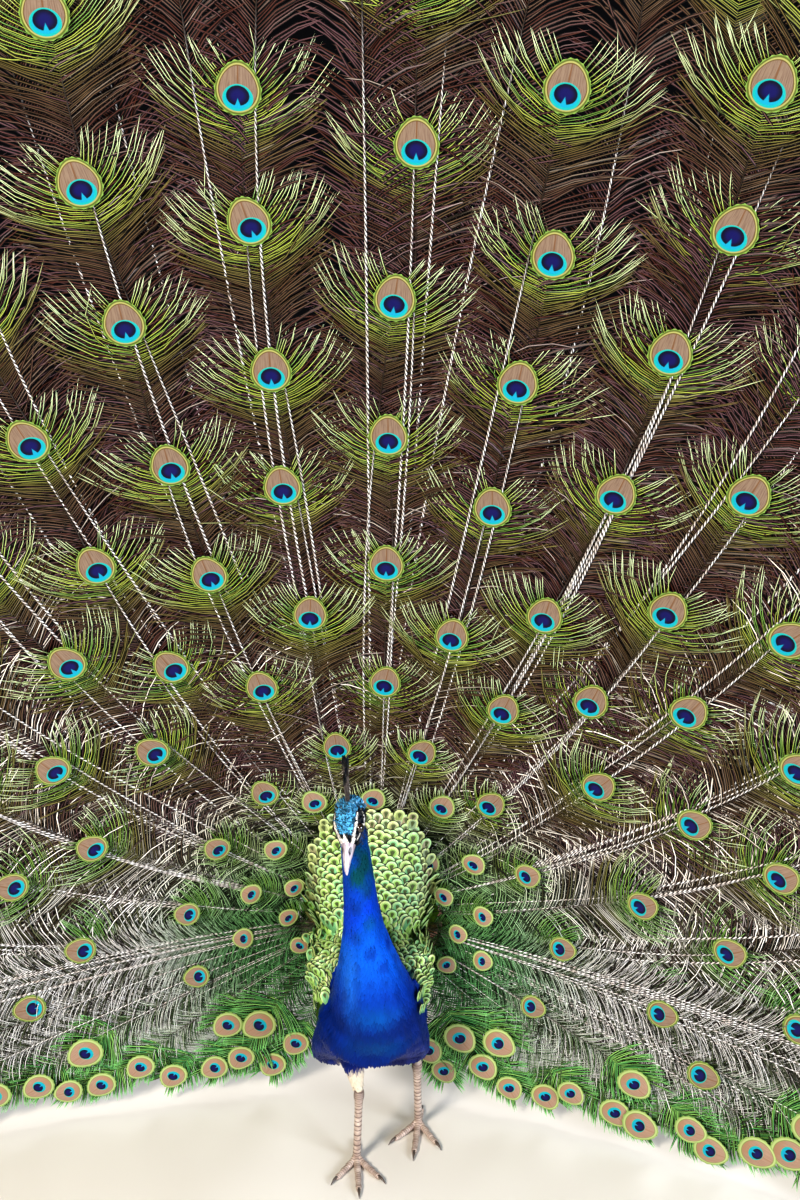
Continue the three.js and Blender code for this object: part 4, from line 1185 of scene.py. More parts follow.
def shield_cover(ground):
    """The scaled cover as a viewer sees it, over hollows and the place behind the neck."""
    windows = np.lib.stride_tricks.sliding_window_view
    x, z = np.meshgrid(
        np.arange(COVER_LEFT, COVER_RIGHT, COVER_PITCH),
        np.arange(COVER_LOW, COVER_HIGH, COVER_PITCH),
    )
    eye = CAMERA + OFFSET
    way = np.stack([x, 0 * x - 0.02, z], -1) + OFFSET - eye
    far = np.linalg.norm(way, axis=-1)
    way /= far[..., None]
    away = np.full(x.shape, np.nan)
    for i, j in np.ndindex(x.shape):
        place, _, _, run = ground.ray_cast(Vector(eye), Vector(way[i, j]))
        if place is None:
            continue
        y, height = place.y - OFFSET[1], place.z
        shoulder = past_cone(np.array([place]))[0] > 0.001 and (height < 0.34 or y > -0.085)
        if shoulder or y > -0.07:
            away[i, j] = run - far[i, j]
    # gaps are closed by growing what is there and shrinking it again
    there = ~np.isnan(away)
    for pick in (np.max, np.min):
        padded = np.pad(there, COVER_SPAN // 2, mode="edge")
        there = pick(windows(padded, (COVER_SPAN, COVER_SPAN)), (2, 3))
    # and the cover always reaches this far round the neck
    there |= (abs(x - 0.003) < 0.080) & (abs(z - 0.340) < 0.080)
    # how far away the cover lies spreads into the gaps, and is then evened out
    for _ in range(40):
        near = windows(np.pad(away, 1, constant_values=np.nan), (3, 3)).reshape(*away.shape, 9)
        with np.errstate(invalid="ignore"):
            spread = np.nansum(near, -1) / (~np.isnan(near)).sum(-1)
        away = np.where(np.isnan(away), spread, away)
    for size, pick in ((7, np.min), (7, np.max), (3, np.mean), (3, np.mean), (3, np.mean)):
        padded = np.pad(away, size // 2, mode="edge")
        away = pick(windows(padded, (size, size)), (2, 3))
    points = eye + way * (far + away)[..., None]
    normals = np.cross(np.gradient(points, axis=1), np.gradient(points, axis=0))
    return points, normals / np.linalg.norm(normals, axis=-1, keepdims=True), there


def scale_rows():
    """Roots of the scale feathers: level rows across the front, and rows round the sides."""
    names = ["back_shield", "train_base", "trunk", "neck_lower", "wing_right", "wing_left"]
    ground = ray_ground(names)
    rng = np.random.default_rng(11)
    to_viewer = Vector((0, -0.925, 0.38))
    rows, row_step, radius = [], 0.38, 0.08

    def wide_at(height):
        return float(np.interp(height, [0.24, 0.30, 0.38, 0.45], [0.0100, 0.0122, 0.0160, 0.0188]))

    def scale_at(place, normal):
        x, y, z = np.array(place) - OFFSET
        if not 0.245 < z < 0.482 or y > 0.03 and z < 0.33:
            return
        lie = np.array([x * 5.0, 0.2, 1.0]) + rng.normal(0, 0.04, 3)
        rim = float(step(0.430, 0.460, z) + step(0.058, 0.070, abs(x)) * step(0.33, 0.37, z))
        share = min(rim * rng.uniform(0.4, 0.9), 1.0)
        green = np.array(linear("#a2d064" if rng.uniform() < 0.6 else "#84ca8c"))
        tint = green * rng.uniform(0.8, 1.1) * (1 - share) + np.array(linear("#a58a78")) * share
        size = wide_at(z) / 0.017 * rng.uniform(0.96, 1.04) * (1 - 0.2 * min(rim, 1.0))
        rows.append((np.array(place), np.array(normal), lie, size, tint))

    points, normals, there = shield_cover(ground)
    height, odd = 0.215, 0
    while height < 0.515:
        wide = wide_at(height)
        for aside in np.arange(-0.126 + odd * 0.46 * wide, 0.126, 0.92 * wide):
            i, j = (height - COVER_LOW) / COVER_PITCH, (aside - COVER_LEFT) / COVER_PITCH
            row, column = int(i), int(j)
            if not there[row : row + 2, column : column + 2].any():
                continue
            share = np.outer([row + 1 - i, i - row], [column + 1 - j, j - column])[..., None]
            place, normal = (
                (grid[row : row + 2, column : column + 2] * share).sum((0, 1))
                for grid in (points, normals)
            )
            if past_cone(place[None])[0] > -0.012 or place[1] - OFFSET[1] > -0.09:
                scale_at(place, normal)
        height += wide * row_step
        odd = 1 - odd
    # round the sides, only where the level rows can't be seen to reach
    centre = Vector(OFFSET) + Vector((0, 0.045, 0))
    height = 0.262
    while height < 0.482:
        wide = wide_at(height)
        for turn in np.arange(-2.1 + odd * 0.5 * wide / radius, 2.1, wide / radius):
            way = Vector((sin(turn), -cos(turn), 0))
            start = centre + way * 0.4 + Vector((0, 0, height))
            place, normal, _, _ = ground.ray_cast(start, -way)
            if place and normal.dot(to_viewer) < 0.30 and abs(place.x - OFFSET[0]) > 0.066:
                scale_at(place, normal)
        height += wide * row_step
        odd = 1 - odd
    return ground_points("scale_roots", rows)


def covert_rows():
    """Roots of the barred coverts, in rows along each folded wing."""
    rng = np.random.default_rng(13)
    rows = []
    for name, side in SIDES:
        ground = ray_ground([f"wing_{name}"])
        y, odd = -0.02, 0
        while y < 0.150:
            pitch = 0.013 + 0.006 * float(step(-0.02, 0.10, y))
            for z in np.arange(0.200 + pitch * 0.5 * odd, 0.335, pitch):
                start = Vector((OFFSET[0] + side * 0.3, OFFSET[1] + y, z))
                place, normal, _, _ = ground.ray_cast(start, Vector((-side, 0, 0)))
                if place is not None:
                    lie = np.array([0, 1.0, -0.22]) + rng.normal(0, 0.05, 3)
                    code = "#c9ab7c" if z < 0.275 + 0.01 * rng.uniform() else "#34501e"
                    tint = np.array(linear(code)) * rng.uniform(0.75, 1.1)
                    size = pitch / 0.013 * rng.uniform(0.95, 1.08)
                    rows.append((np.array(place), np.array(normal), lie, size, tint))
            y += pitch * 0.62
            odd = 1 - odd
    return ground_points("covert_roots", rows)


def ray_ground(names):
    """A search tree of these solids, for rays."""
    mesh = copied_solids(names)
    found = BVHTree.FromPolygons(
        [v.co[:] for v in mesh.vertices], [p.vertices[:] for p in mesh.polygons]
    )
    bpy.data.meshes.remove(mesh)
    return found


# ---------- bill, eyes and crest ----------
def curve(rows, count):
    """Points of a smooth curve through rows, evenly spaced by row."""
    rows = np.asarray(rows, float)
    t = np.linspace(0, len(rows) - 1, count)
    i = np.minimum(t.astype(int), len(rows) - 2)
    f = (t - i)[:, None]
    ends = np.concatenate([[2 * rows[0] - rows[1]], rows, [2 * rows[-1] - rows[-2]]])
    a, b, c, d = (ends[i + k] for k in range(4))
    return 0.5 * (
        2 * b + (c - a) * f + (2 * a - 5 * b + 4 * c - d) * f**2 + (3 * b - a - 3 * c + d) * f**3
    )


def tube(rows, across, up, sides, steps, ridge=1.0):
    """A closed body through rows [x, y, z, half width, height up, height down]."""
    line = curve(rows, steps + 1)
    turn = np.arange(sides) / sides
    c, s = np.cos(turn * 2 * pi), np.sin(turn * 2 * pi)
    wide = line[:, 3:4] * (np.sign(c) * np.abs(c) ** ridge)[None]
    height = np.where(s[None] > 0, line[:, 4:5], line[:, 5:6]) * s[None]
    ring = line[:, None, :3] + wide[..., None] * across + height[..., None] * up
    points = np.concatenate([ring.reshape(-1, 3), line[:1, :3], line[-1:, :3]])
    last = len(points) - 1
    j = np.arange(sides)
    after = (j + 1) % sides
    low = np.stack([np.full(sides, last - 1), after, j], -1)
    high = np.stack([np.full(sides, last), steps * sides + j, steps * sides + after], -1)
    share = np.concatenate([np.repeat(np.linspace(0, 1, steps + 1), sides), [0, 1]])
    around = np.concatenate([np.tile(turn, steps + 1), [0, 0]])
    middle = np.concatenate([np.repeat(line[:, :3], sides, 0), line[:1, :3], line[-1:, :3]])
    faces = [grid_quads(steps + 1, sides, closed=True), np.concatenate([low, high])]
    return points, faces, share, around, middle


MM = 0.001
GAPE = -6.6  # millimetres that the mouth's line lies above the head's centre
# Stations of the bill's halves, in millimetres: [ahead, above, half width, up, down].
BILL_UPPER = [
    (22, GAPE + 2.5, 7.0, 9.8, 0.6), (28, GAPE + 0.5, 9.6, 9.9, 0.5), (32, GAPE, 9.4, 9.3, 0.5),
    (38, GAPE - 0.4, 7.8, 8.6, 0.5), (47, GAPE - 1.0, 5.9, 7.3, 0.5),
    (56, GAPE - 1.9, 4.2, 5.4, 0.6), (63, GAPE - 3.2, 2.6, 3.3, 1.3),
    (67, GAPE - 5.0, 0.9, 1.1, 1.1),
]
BILL_LOWER = [
    (26, GAPE - 1.0, 8.6, 0.4, 5.0), (31, GAPE - 1.1, 8.4, 0.3, 4.9),
    (39, GAPE - 1.6, 6.6, 0.3, 4.1), (48, GAPE - 2.3, 4.8, 0.3, 3.3),
    (58, GAPE - 3.7, 2.3, 0.3, 1.8),
]


def bill_piece(name, stations, ridge, horn):
    rows = [[*on_head(a * MM, u * MM), *(v * MM for v in girth)] for a, u, *girth in stations]
    points, faces, share, around, _ = tube(rows, ASIDE, ABOVE, 36, 64, ridge)
    ahead, above, aside, _ = head_parts(points)
    nostril = np.exp(
        -(((ahead - 0.0385) / 0.0050) ** 2)
        - (((above - (GAPE + 4.6) * MM + (ahead - 0.0385) * 0.22) / 0.0016) ** 2)
    ) * (np.abs(aside) > 0.002) * (name == "bill_upper")
    points = points - (np.sign(aside) * nostril * 0.0016)[:, None] * ASIDE
    mark = np.stack([nostril, share, np.abs(around - 0.25)], -1)
    uv = np.stack([around, share], -1)
    piece = mesh_piece(name + "_horn", points, faces, [horn], uv=uv, attributes={"mark": mark})
    finish_piece(piece, [name], outward=True)


def bill_material():
    """Horn: smooth, a little translucent, paler along the ridge, partly a painted highlight, and
    dark in the nostrils, painted shade of their openings.
    """
    material, add, sockets = new_material("bill_horn", Roughness=0.3, Subsurface_Weight=0.1)
    sockets["Subsurface Radius"].default_value = (0.002, 0.001, 0.0008)
    nostril, share, turn = parts_of(add, "mark")
    place = add(PLACE).node.outputs["Object"]
    streak = add("ShaderNodeMapping", {"Vector": place, "Scale": (1, 0.3, 0.3)})
    streak = add(NOISE, (streak, grain(2.4), 3.0))
    horn = add(RAMP, (streak,), ((0.32, "#857b8a"), (0.5, "#b0a6b4"), (0.7, "#cac0ce")))
    # darker sides towards the base, partly the horn's dark edges and partly leaving a painted
    # highlight along the ridge
    side = add(MIX, (add(RANGE, (turn, 0.05, 0.20)), horn, "#8e8086"))
    horn = add(MIX, (add(RANGE, (share, 0.30, 0.55)), side, horn))
    # painted shade in the nostrils' openings
    dark = add(RANGE, (nostril, 0.12, 0.50))
    link(add(MIX, (dark, horn, "#33282f")), sockets["Base Color"])
    return material


def eye_material():
    """A wet eye: dark brown iris round a black pupil, under a clear coat."""
    material, add, sockets = new_material(
        "wet_eye", Roughness=0.12, Coat_Weight=1.0, Coat_Roughness=0.03
    )
    iris = add(RAMP, (parts_of(add, "mark")[0],), (
        (0.0, "#030202"), (0.24, "#030202"), (0.27, "#1e1009"), (0.36, "#2c190e"),
        (0.44, "#1d0f08"), (0.50, "#0c0808"),
    ))
    link(iris, sockets["Base Color"])
    return material


def eye_ball(name, side, wet):
    centre = on_head(EYE_AT[0], EYE_AT[1], side * EYE_AT[2])
    rings, spokes = 18, 32
    polar = np.linspace(0, pi, rings + 1)
    turn = np.arange(spokes) / spokes * 2 * pi
    r = EYE_BALL * 0.985 * (1 + 0.05 * np.exp(-((polar / 0.55) ** 2)))
    round_ = np.cos(turn)[None, :, None] * AHEAD + np.sin(turn)[None, :, None] * ABOVE
    out, around = (part[:, None, None] for part in (r * np.cos(polar), r * np.sin(polar)))
    p = centre + out * (side * ASIDE) + around * round_
    share = np.repeat(polar / pi, spokes)
    mark = np.stack([share, np.tile(turn, rings + 1), 0 * share], -1)
    uv = np.stack([np.tile(turn / 6.3, rings + 1), share], -1)
    faces = [grid_quads(rings + 1, spokes, closed=True)]
    piece = mesh_piece(
        f"eye_{name}_ball", p.reshape(-1, 3), faces, [wet], uv=uv, attributes={"mark": mark}
    )
    finish_piece(piece, [f"eye_{name}"], outward=True)


def crest_piece(shaft_finish, tip_finish):
    """Bare shafts in the head's own plane, each ending in a small dark fan of barbs."""
    rng = np.random.default_rng(31)
    store = Store()
    root = on_head(-0.0235, 0.0120, 0.0)
    count = 24
    for i in range(count):
        share = i / (count - 1)
        lean = radians(-24 + 72 * share + rng.normal(0, 1.2))
        way = np.array([rng.normal(-0.05, 0.045), sin(lean), cos(lean)])
        way /= np.linalg.norm(way)
        edge = np.cross(way, [1.0, 0, 0])
        edge /= np.linalg.norm(edge)
        flat = np.cross(edge, way)
        long = 0.060 * (0.86 + 0.14 * sin(pi * share)) * rng.uniform(0.93, 1.0)
        start = root + np.array([rng.normal(0, 0.0016), 0.010 * (share - 0.5), -0.002])
        bow = np.array([0, 0.003 * (share - 0.4), 0])
        rows = [
            [*(start + way * long * t + bow * sin(pi * t)), w, w, w]
            for t, w in ((0, 0.00065), (0.4, 0.0005), (0.75, 0.0004), (0.98, 0.0002))
        ]
        points, faces, along, turn, _ = tube(rows, flat, edge, 6, 8)
        uv = np.stack([(i + turn * 0.4) / count, along * 0.7], -1)
        store.add(points, uv, faces, 0, mark=np.stack([along, turn, 0 * turn], -1))
        # the flag at the tip, and short bare barbs below it
        t, x = np.meshgrid(np.linspace(0, 1, 7), np.linspace(-1, 1, 7), indexing="ij")
        half = 0.0048 * np.interp(t, [0, 0.35, 0.75, 1], [0.12, 0.62, 1.0, 0.72])
        top = 0.014 * (t - 0.18 * x**2 * t) + 0.0006 * np.cos(x * 9.4) * (t > 0.9)
        flag = start + way * (long - 0.0115) + bow * 0.1 + (x * half)[..., None] * edge
        flag = flag + top[..., None] * way + (0.0009 * x * np.sign(rng.normal()))[..., None] * flat
        uv = np.stack([(i + 0.45 + 0.25 * (x + 1)) / count, 0.75 + 0.2 * t], -1).reshape(-1, 2)
        mark = np.stack([t, x, 0 * t], -1).reshape(-1, 3)
        store.add(flag.reshape(-1, 3), uv, [grid_quads(7, 7)], 1, mark=mark)
        for height in np.linspace(0.12, 0.82, 22):
            for hand in (-1, 1):
                for out in (edge, flat):
                    foot = start + way * long * height
                    tip = foot + out * hand * rng.uniform(0.0016, 0.0030) + way * 0.0034
                    thin = np.cross(way, out) * 0.00018
                    uv = np.array([[0, 0], [0.003, 0], [0, 0.003]]) + [(i + 0.8) / count, height]
                    points = np.stack([foot - thin, foot + thin, tip])
                    mark = np.array([[0.5, 0, 0]] * 3)
                    store.add(points, uv, [np.array([[0, 1, 2]])], 0, mark=mark)
    piece = store.piece("crest_feathers", [shaft_finish, tip_finish])
    finish_piece(piece, ["crest"])


def crest_materials():
    """Grey-brown shafts, and dark tips with a blue-green film."""
    shaft, add, sockets = new_material("crest_shaft", Roughness=0.5)
    along = parts_of(add, "mark")[0]
    brown = add(RAMP, (along,), ((0.0, "#4c4441"), (0.5, "#5f5652"), (1.0, "#2a2524")))
    link(brown, sockets["Base Color"])
    tip, add, sockets = new_material("crest_tip_film", Roughness=0.4, Metallic=0.3)
    along, across, _ = parts_of(add, "mark")
    slope = add(SUBTRACT, (along, add(MULTIPLY, (add(ABSOLUTE, (across,)), 0.5))))
    line = add(RANGE, (add(PINGPONG, (add(MULTIPLY, (slope, CREST_LINES)), 0.5)), 0.1, 0.4))
    film = add(RAMP, (along,), (
        (0.0, "#1c1e1e"), (0.45, "#0b2230"), (0.8, "#081640"), (1.0, "#08303f"),
    ))
    link(add(MIX, (line, "#04060b", film)), sockets["Base Color"])
    return shaft, tip


# ---------- legs ----------
TOES = ((-38, 0.050), (0, 0.066), (36, 0.052), (176, 0.030))
TOE = 0.0046
UPRIGHT = np.array([0, 0, 1.0])


def leg_piece(name, finish, claw_finish):
    """Shank, spur and toes: plates overlap down the front, beads cover the back."""
    leg = LEGS[name]
    foot = np.array([*leg["foot"], 0.0]) + OFFSET
    hock = np.array(leg["hock"]) + OFFSET
    store = Store()

    def add(rows, across, up, sides, steps, slot, length, pitch, depth, cell, front=0.25):
        points, faces, along, turn, middle = tube(rows, across, up, sides, steps)
        phase = along * length / pitch
        ahead = step(-0.2, 0.5, np.cos((turn - front) * 2 * pi))
        bead = np.sin(phase * 3 * pi) * np.sin(turn * 12 * pi)
        push = depth * (((phase % 1.0) ** 1.6 - 0.35) * ahead + 0.35 * bead * (1 - ahead))
        away = points - middle
        size = np.linalg.norm(away, axis=1, keepdims=True)
        points = points + away / np.maximum(size, 1e-6) * push[:, None] * (size > 1e-5)
        points[:, 2] = np.maximum(points[:, 2], 0.0)
        uv = np.stack([(cell[0] + turn * 0.9) / 5, (cell[1] + along * 0.9) / 3], -1)
        store.add(points, uv, faces, slot, mark=np.stack([phase, turn, along], -1))

    low = np.array([foot[0], foot[1], 0.004])
    rows = [[*(low + (hock - low) * t), w, back, ahead] for t, w, back, ahead in (
        (0.0, 0.0066, 0.0074, 0.0070), (0.10, 0.0056, 0.0066, 0.0062),
        (0.5, 0.0054, 0.0062, 0.0060), (0.85, 0.0058, 0.0068, 0.0066),
        (0.96, 0.0074, 0.0088, 0.0078), (1.03, 0.0066, 0.0078, 0.0070),
    )]
    sideways, behind = np.array([1.0, 0, 0]), np.array([0, 1.0, 0])
    add(rows, sideways, behind, 24, 190, 0, hock[2], 0.0046, 0.0008, (0, 0), front=0.75)
    spur = low + (hock - low) * 0.36
    rows = [[*(spur + np.array([0, y, z])), w, w, w] for y, z, w in (
        (0, 0, 0.0034), (0.010, 0.0008, 0.0028), (0.017, 0.0022, 0.0018), (0.0225, 0.0045, 0.0005),
    )]
    add(rows, sideways, UPRIGHT, 14, 18, 1, 0.02, 0.004, 0.00012, (1, 0))
    for index, (spread, length) in enumerate(TOES):
        turn = radians(leg["heading"] + spread)
        way = np.array([sin(turn), -cos(turn), 0.0])
        side = np.array([cos(turn), sin(turn), 0.0])
        ground = np.array([foot[0], foot[1], 0.0])
        rows = [[*(ground + UPRIGHT * h + way * length * t), wide * TOE, tall, deep]
                for t, h, wide, tall, deep in (
            (-0.08, 0.0072, 1.20, 0.0046, 0.0066), (0.10, 0.0062, 1.20, 0.0050, 0.0058),
            (0.24, 0.0050, 1.04, 0.0042, 0.0046), (0.38, 0.0050, 1.10, 0.0042, 0.0050),
            (0.50, 0.0044, 0.92, 0.0036, 0.0042), (0.64, 0.0046, 1.00, 0.0038, 0.0046),
            (0.78, 0.0040, 0.84, 0.0032, 0.0038), (0.90, 0.0042, 0.92, 0.0032, 0.0042),
            (1.0, 0.0038, 0.62, 0.0024, 0.0032),
        )]
        add(rows, side, UPRIGHT, 16, 72, 0, length, 0.0034, 0.0006, (index, 1))
        rows = [[*(ground + UPRIGHT * h + way * (length + past)), wide, tall, tall]
                for past, h, wide, tall in (
            (-0.0035, 0.0046, 0.0024, 0.0024), (0.003, 0.0052, 0.0021, 0.0024),
            (0.008, 0.0040, 0.0014, 0.0018), (0.013, 0.0014, 0.0004, 0.0006),
        )]
        add(rows, side, UPRIGHT, 12, 14, 1, 0.016, 0.02, 0.0, (index, 2))
    piece = store.piece(f"leg_{name}_scutes", [finish, claw_finish])
    finish_piece(piece, [f"shank_{name}", f"foot_{name}"], outward=True)


def leg_materials():
    """Horny leg plates with pale edges, and darker polished claws."""
    scute, add, sockets = new_material("leg_scute_horn", Roughness=0.46)
    phase = parts_of(add, "mark")[0]
    plate = add(FRACT, (phase,))
    place = add(PLACE).node.outputs["Object"]
    horn = add(RAMP, (add(NOISE, (place, grain(9), 3.0)),), (
        (0.3, "#9a867c"), (0.55, "#bdaa9e"), (0.75, "#d8cabf"),
    ))
    seam = add(RANGE, (plate, 0.0, 0.35))
    link(add(MIX, (seam, "#4e3f3a", horn)), sockets["Base Color"])
    bumps = {"Height": add(NOISE, (place, grain(1.43))), "Strength": 0.4, "Distance": 0.0004}
    link(add("ShaderNodeBump", bumps), sockets["Normal"])
    claw, add, sockets = new_material("claw_horn", Roughness=0.32)
    place = add(PLACE).node.outputs["Object"]
    streak = add(NOISE, (place, grain(3.3)))
    horn = add(RAMP, (streak,), ((0.3, "#3a312d"), (0.7, "#5f534c")))
    link(horn, sockets["Base Color"])
    return scute, claw


# ---------- stiff feathers ----------
CELLS = 32  # places for stiff feathers side by side on the bake map
TAIL_FEATHERS, PRIMARIES = 18, 8


def blade(store, spine, across, half, cell, camber):
    """A stiff feather: a spine of points, its width direction and half widths along it."""
    rows, columns = len(spine), 9
    x = np.linspace(-1, 1, columns)
    across = across / np.linalg.norm(across, axis=1, keepdims=True)
    bend = np.cross(np.gradient(spine, axis=0), across)
    bend /= np.linalg.norm(bend, axis=1, keepdims=True)
    points = spine[:, None] + (half[:, None] * x[None])[..., None] * across[:, None]
    points = points + (camber * (1 - np.abs(x)))[None, :, None] * bend[:, None]
    y = np.linspace(0, 1, rows)
    x, y = np.tile(x, rows), np.repeat(y, columns)
    uv = np.stack([(cell + 0.5 + 0.42 * x) / CELLS, 0.05 + 0.9 * y], -1)
    vane = np.stack([x, y, np.full(len(x), (cell * 0.37) % 1)], -1)
    store.add(points.reshape(-1, 3), uv, [grid_quads(rows, columns)], 0, vane=vane)


def stiff_material(name, edge, middle, mottle):
    """A stiff vane: barbs run at a slant from a pale shaft, over mottled brown."""
    material, add, sockets = new_material(name, Roughness=0.6)
    x, y, _ = parts_of(add, "vane")
    aside = add(ABSOLUTE, (x,))
    slant = add(MULTIPLY, (aside, STIFF_SLANT))
    slope = add(MULTIPLY_ADD, (y, STIFF_LINES, slant))
    line = add(RANGE, (add(PINGPONG, (slope, 0.5)), 0.05, 0.4))
    place = add(PLACE).node.outputs["Object"]
    speckle = add(RANGE, (add(NOISE, (place, grain(7.7), 4.0)), 0.52, 0.60))
    colour = add(MIX, (add(RANGE, (aside, 0.1, 0.9)), middle, edge))
    colour = add(MIX, (speckle, colour, mottle))
    shade = add(MIX, (line, "#8c8c8c", "#ffffff"))
    colour = add(TIMES, (1.0, colour, shade))
    stem = add(RANGE, (aside, 0.07, 0.03))
    link(add(MIX, (stem, colour, "#c2ad8c")), sockets["Base Color"])
    return material


def tail_piece(finish):
    """The stiff tail that props the fan from behind."""
    store = Store()
    for i in range(TAIL_FEATHERS):
        angle = radians(84) * (2 * (i + 0.5) / TAIL_FEATHERS - 1)
        share = np.linspace(0, 1, 26)
        reach = 0.075 + (0.430 * (0.9 + 0.1 * cos(angle)) - 0.075) * share
        turn = angle + radians(0.04) * sin(3 * i) * np.sin(pi * share)
        behind = 0.021 + 0.004 * (i % 2) + 0.002 * sin(5 * i)
        spine = fan(reach * np.sin(turn), reach * np.cos(turn), behind)
        side = fan(reach * np.sin(turn + 0.01), reach * np.cos(turn + 0.01), behind) - spine
        half = np.interp(share, [0, 0.25, 0.8, 0.93, 1], [0.006, 0.018, 0.031, 0.025, 0.006])
        blade(store, spine, side, half, i, 0.002)
    finish_piece(store.piece("tail_feathers", [finish]), ["tail"])


def primaries_piece(name, side, finish):
    """The rufous flight feathers that droop behind the fan."""
    store = Store()
    root = np.array([side * 0.069, 0.118, 0.262]) + OFFSET
    for i in range(PRIMARIES):
        share = (i + 0.5) / PRIMARIES
        droop = radians(12 + 62 * share)
        t = np.linspace(-0.10, 1, 22)
        reach = (0.150 + 0.050 * sin(pi * (0.25 + 0.5 * share))) * t
        past = np.clip(t, 0, 1)
        out = side * (reach * (0.18 + 0.2 * share * past) + 0.0012 * i)
        down = -reach * sin(droop) - 0.010 * past**2
        spine = root + np.stack([out, reach * cos(droop), down], -1)
        across = np.cross(np.gradient(spine, axis=0), np.array([side * 1.0, 0.12, 0.05]))
        half = np.interp(t, [-0.10, 0.2, 0.8, 0.93, 1], [0.008, 0.014, 0.014, 0.010, 0.002])
        blade(store, spine, across, half, i, 0.0015)
    piece = store.piece(f"primaries_{name}_feathers", [finish])
    finish_piece(piece, [f"primaries_{name}"])


# ---------- the add-on ----------
class PeacockSizes(bpy.types.PropertyGroup):
    """Sizes that a user may change."""

    seed: IntProperty(name="Seed", description="Seed of all small variation", default=7)
    barb_spacing: FloatProperty(
        name="Barb spacing", description="Step between loose barbs along a shaft",
        default=0.0046, unit="LENGTH",
    )
    flare_spacing: FloatProperty(
        name="Flare spacing", description="Step between the dense barbs round an eye",
        default=0.0024, unit="LENGTH",
    )
    coat_depth: FloatProperty(
        name="Coat depth", description="How far the skin lies inside the body's outline",
        default=0.0035, unit="LENGTH",
    )
    eye_scale: FloatProperty(
        name="Eye spots", description="Size of the eye spots, 1 as in life", default=1.0
    )


def chosen(label, description, code):
    """A colour that a user may change, by its sRGB hex code."""
    return FloatVectorProperty(
        name=label, description=description, subtype="COLOR", default=linear(code)
    )


class PeacockColours(bpy.types.PropertyGroup):
    """Colours that a user may change."""

    blue: chosen("Neck", "Blue of the neck and breast", "#0442d6")
    ring: chosen("Eye ring", "Turquoise ring of an eye spot", "#0e9c98")
    pupil: chosen("Eye heart", "Dark heart of an eye spot", "#0a0a4e")
    bronze: chosen("Eye bronze", "Tan disc of an eye spot", "#7f6c5c")


def train_materials(colours):
    """Barb, shaft and eye spot, made once and shared by all train pieces."""
    found = [bpy.data.materials.get(n) for n in ("barb_keratin", "shaft_keratin", "eye_spot_film")]
    if all(found):
        return found
    palette = {key: rgba(tuple(getattr(colours, key))) for key in ("ring", "pupil", "bronze")}
    return [barb_material(), shaft_material(), eye_spot_material(palette)]


def lamp(name, place, aim, size, power, colour="#ffffff"):
    light = bpy.data.lights.new(name, "AREA")
    light.shape, light.size, light.energy, light.color = "DISK", size, power, linear(colour)
    made = bpy.data.objects.new(name, light)
    made.location = place
    made.rotation_euler = (Vector(aim) - Vector(place)).to_track_quat("-Z", "Y").to_euler()
    bpy.context.scene.collection.objects.link(made)


class PEACOCK_OT_stage(bpy.types.Operator):
    """Floor, lights, surroundings and camera"""

    bl_idname = "peacock.stage"
    bl_label = "Stage"

    def execute(self, context):
        scene = context.scene
        # matt paint in faint clouds a third of a metre wide: shadows show, and nothing glints
        material, add, sockets = new_material("floor_matte_paint", Roughness=0.85)
        place = add(PLACE).node.outputs["Object"]
        shade = add(RAMP, (add(NOISE, (place, 3.0)),), ((0.3, "#cfcac2"), (0.7, "#d8d4cd")))
        link(shade, sockets["Base Color"])
        bpy.ops.mesh.primitive_circle_add(vertices=128, radius=1.75, fill_type="NGON")
        floor = context.object
        floor.name = "floor"
        floor.data.transform(Matrix.Translation((0, 0, -0.0006)))
        floor.data.materials.append(material)
        scene.world = bpy.data.worlds.new("surroundings")
        scene.world.use_nodes = True
        ground = scene.world.node_tree.nodes["Background"].inputs
        ground["Color"].default_value = rgba("#101012")
        for values in (
            ("key", (-1.6, -2.8, 2.7), (0, 0, 0.6), 0.9, 184, "#fff6e8"),
            ("fill", (2.4, -2.2, 1.5), (0, 0, 0.7), 1.6, 116, "#eaf2ff"),
            ("top", (0.2, 0.4, 3.4), (0, 0, 0.7), 1.4, 52),
            ("low", (0.0, -2.6, 0.5), (0, 0, 0.5), 1.2, 12),
            ("rear", (1.4, 3.0, 2.0), (0, 0, 0.7), 1.6, 55, "#eaf2ff"),
        ):
            lamp(*values)
        scene.view_settings.view_transform = "Standard"
        scene.view_settings.look = "Medium High Contrast"
        lens = bpy.data.cameras.new("camera")
        lens.sensor_fit, lens.sensor_width, lens.lens = "AUTO", 36, 50
        camera = bpy.data.objects.new("camera", lens)
        camera.location = CAMERA + OFFSET
        camera.rotation_euler = (radians(90 - CAMERA_DOWN), 0, 0)
        scene.collection.objects.link(camera)
        scene.camera = camera
        return {"FINISHED"}


class PEACOCK_OT_train(bpy.types.Operator):
    """The upright feathers of the train, one piece for each column of the fan"""

    bl_idname = "peacock.train"
    bl_label = "Train"

    def execute(self, context):
        scene = context.scene
        materials = train_materials(scene.peacock_colours)
        for column in range(-COLUMNS_EACH_SIDE, COLUMNS_EACH_SIDE + 1):
            train_column(column, scene.peacock_sizes, materials)
        return {"FINISHED"}


class PEACOCK_OT_edge(bpy.types.Operator):
    """The feathers of the train's level lower edge"""

    bl_idname = "peacock.edge"
    bl_label = "Lower edge"

    def execute(self, context):
        scene = context.scene
        materials = train_materials(scene.peacock_colours)
        for name, side in SIDES:
            half = EDGE_COUNT // 2
            for part, first, last in (("inner", 0, half), ("outer", half, EDGE_COUNT)):
                piece = f"train_edge_{name}_{part}"
                edge_piece(side, first, last, piece, scene.peacock_sizes, materials)
        return {"FINISHED"}


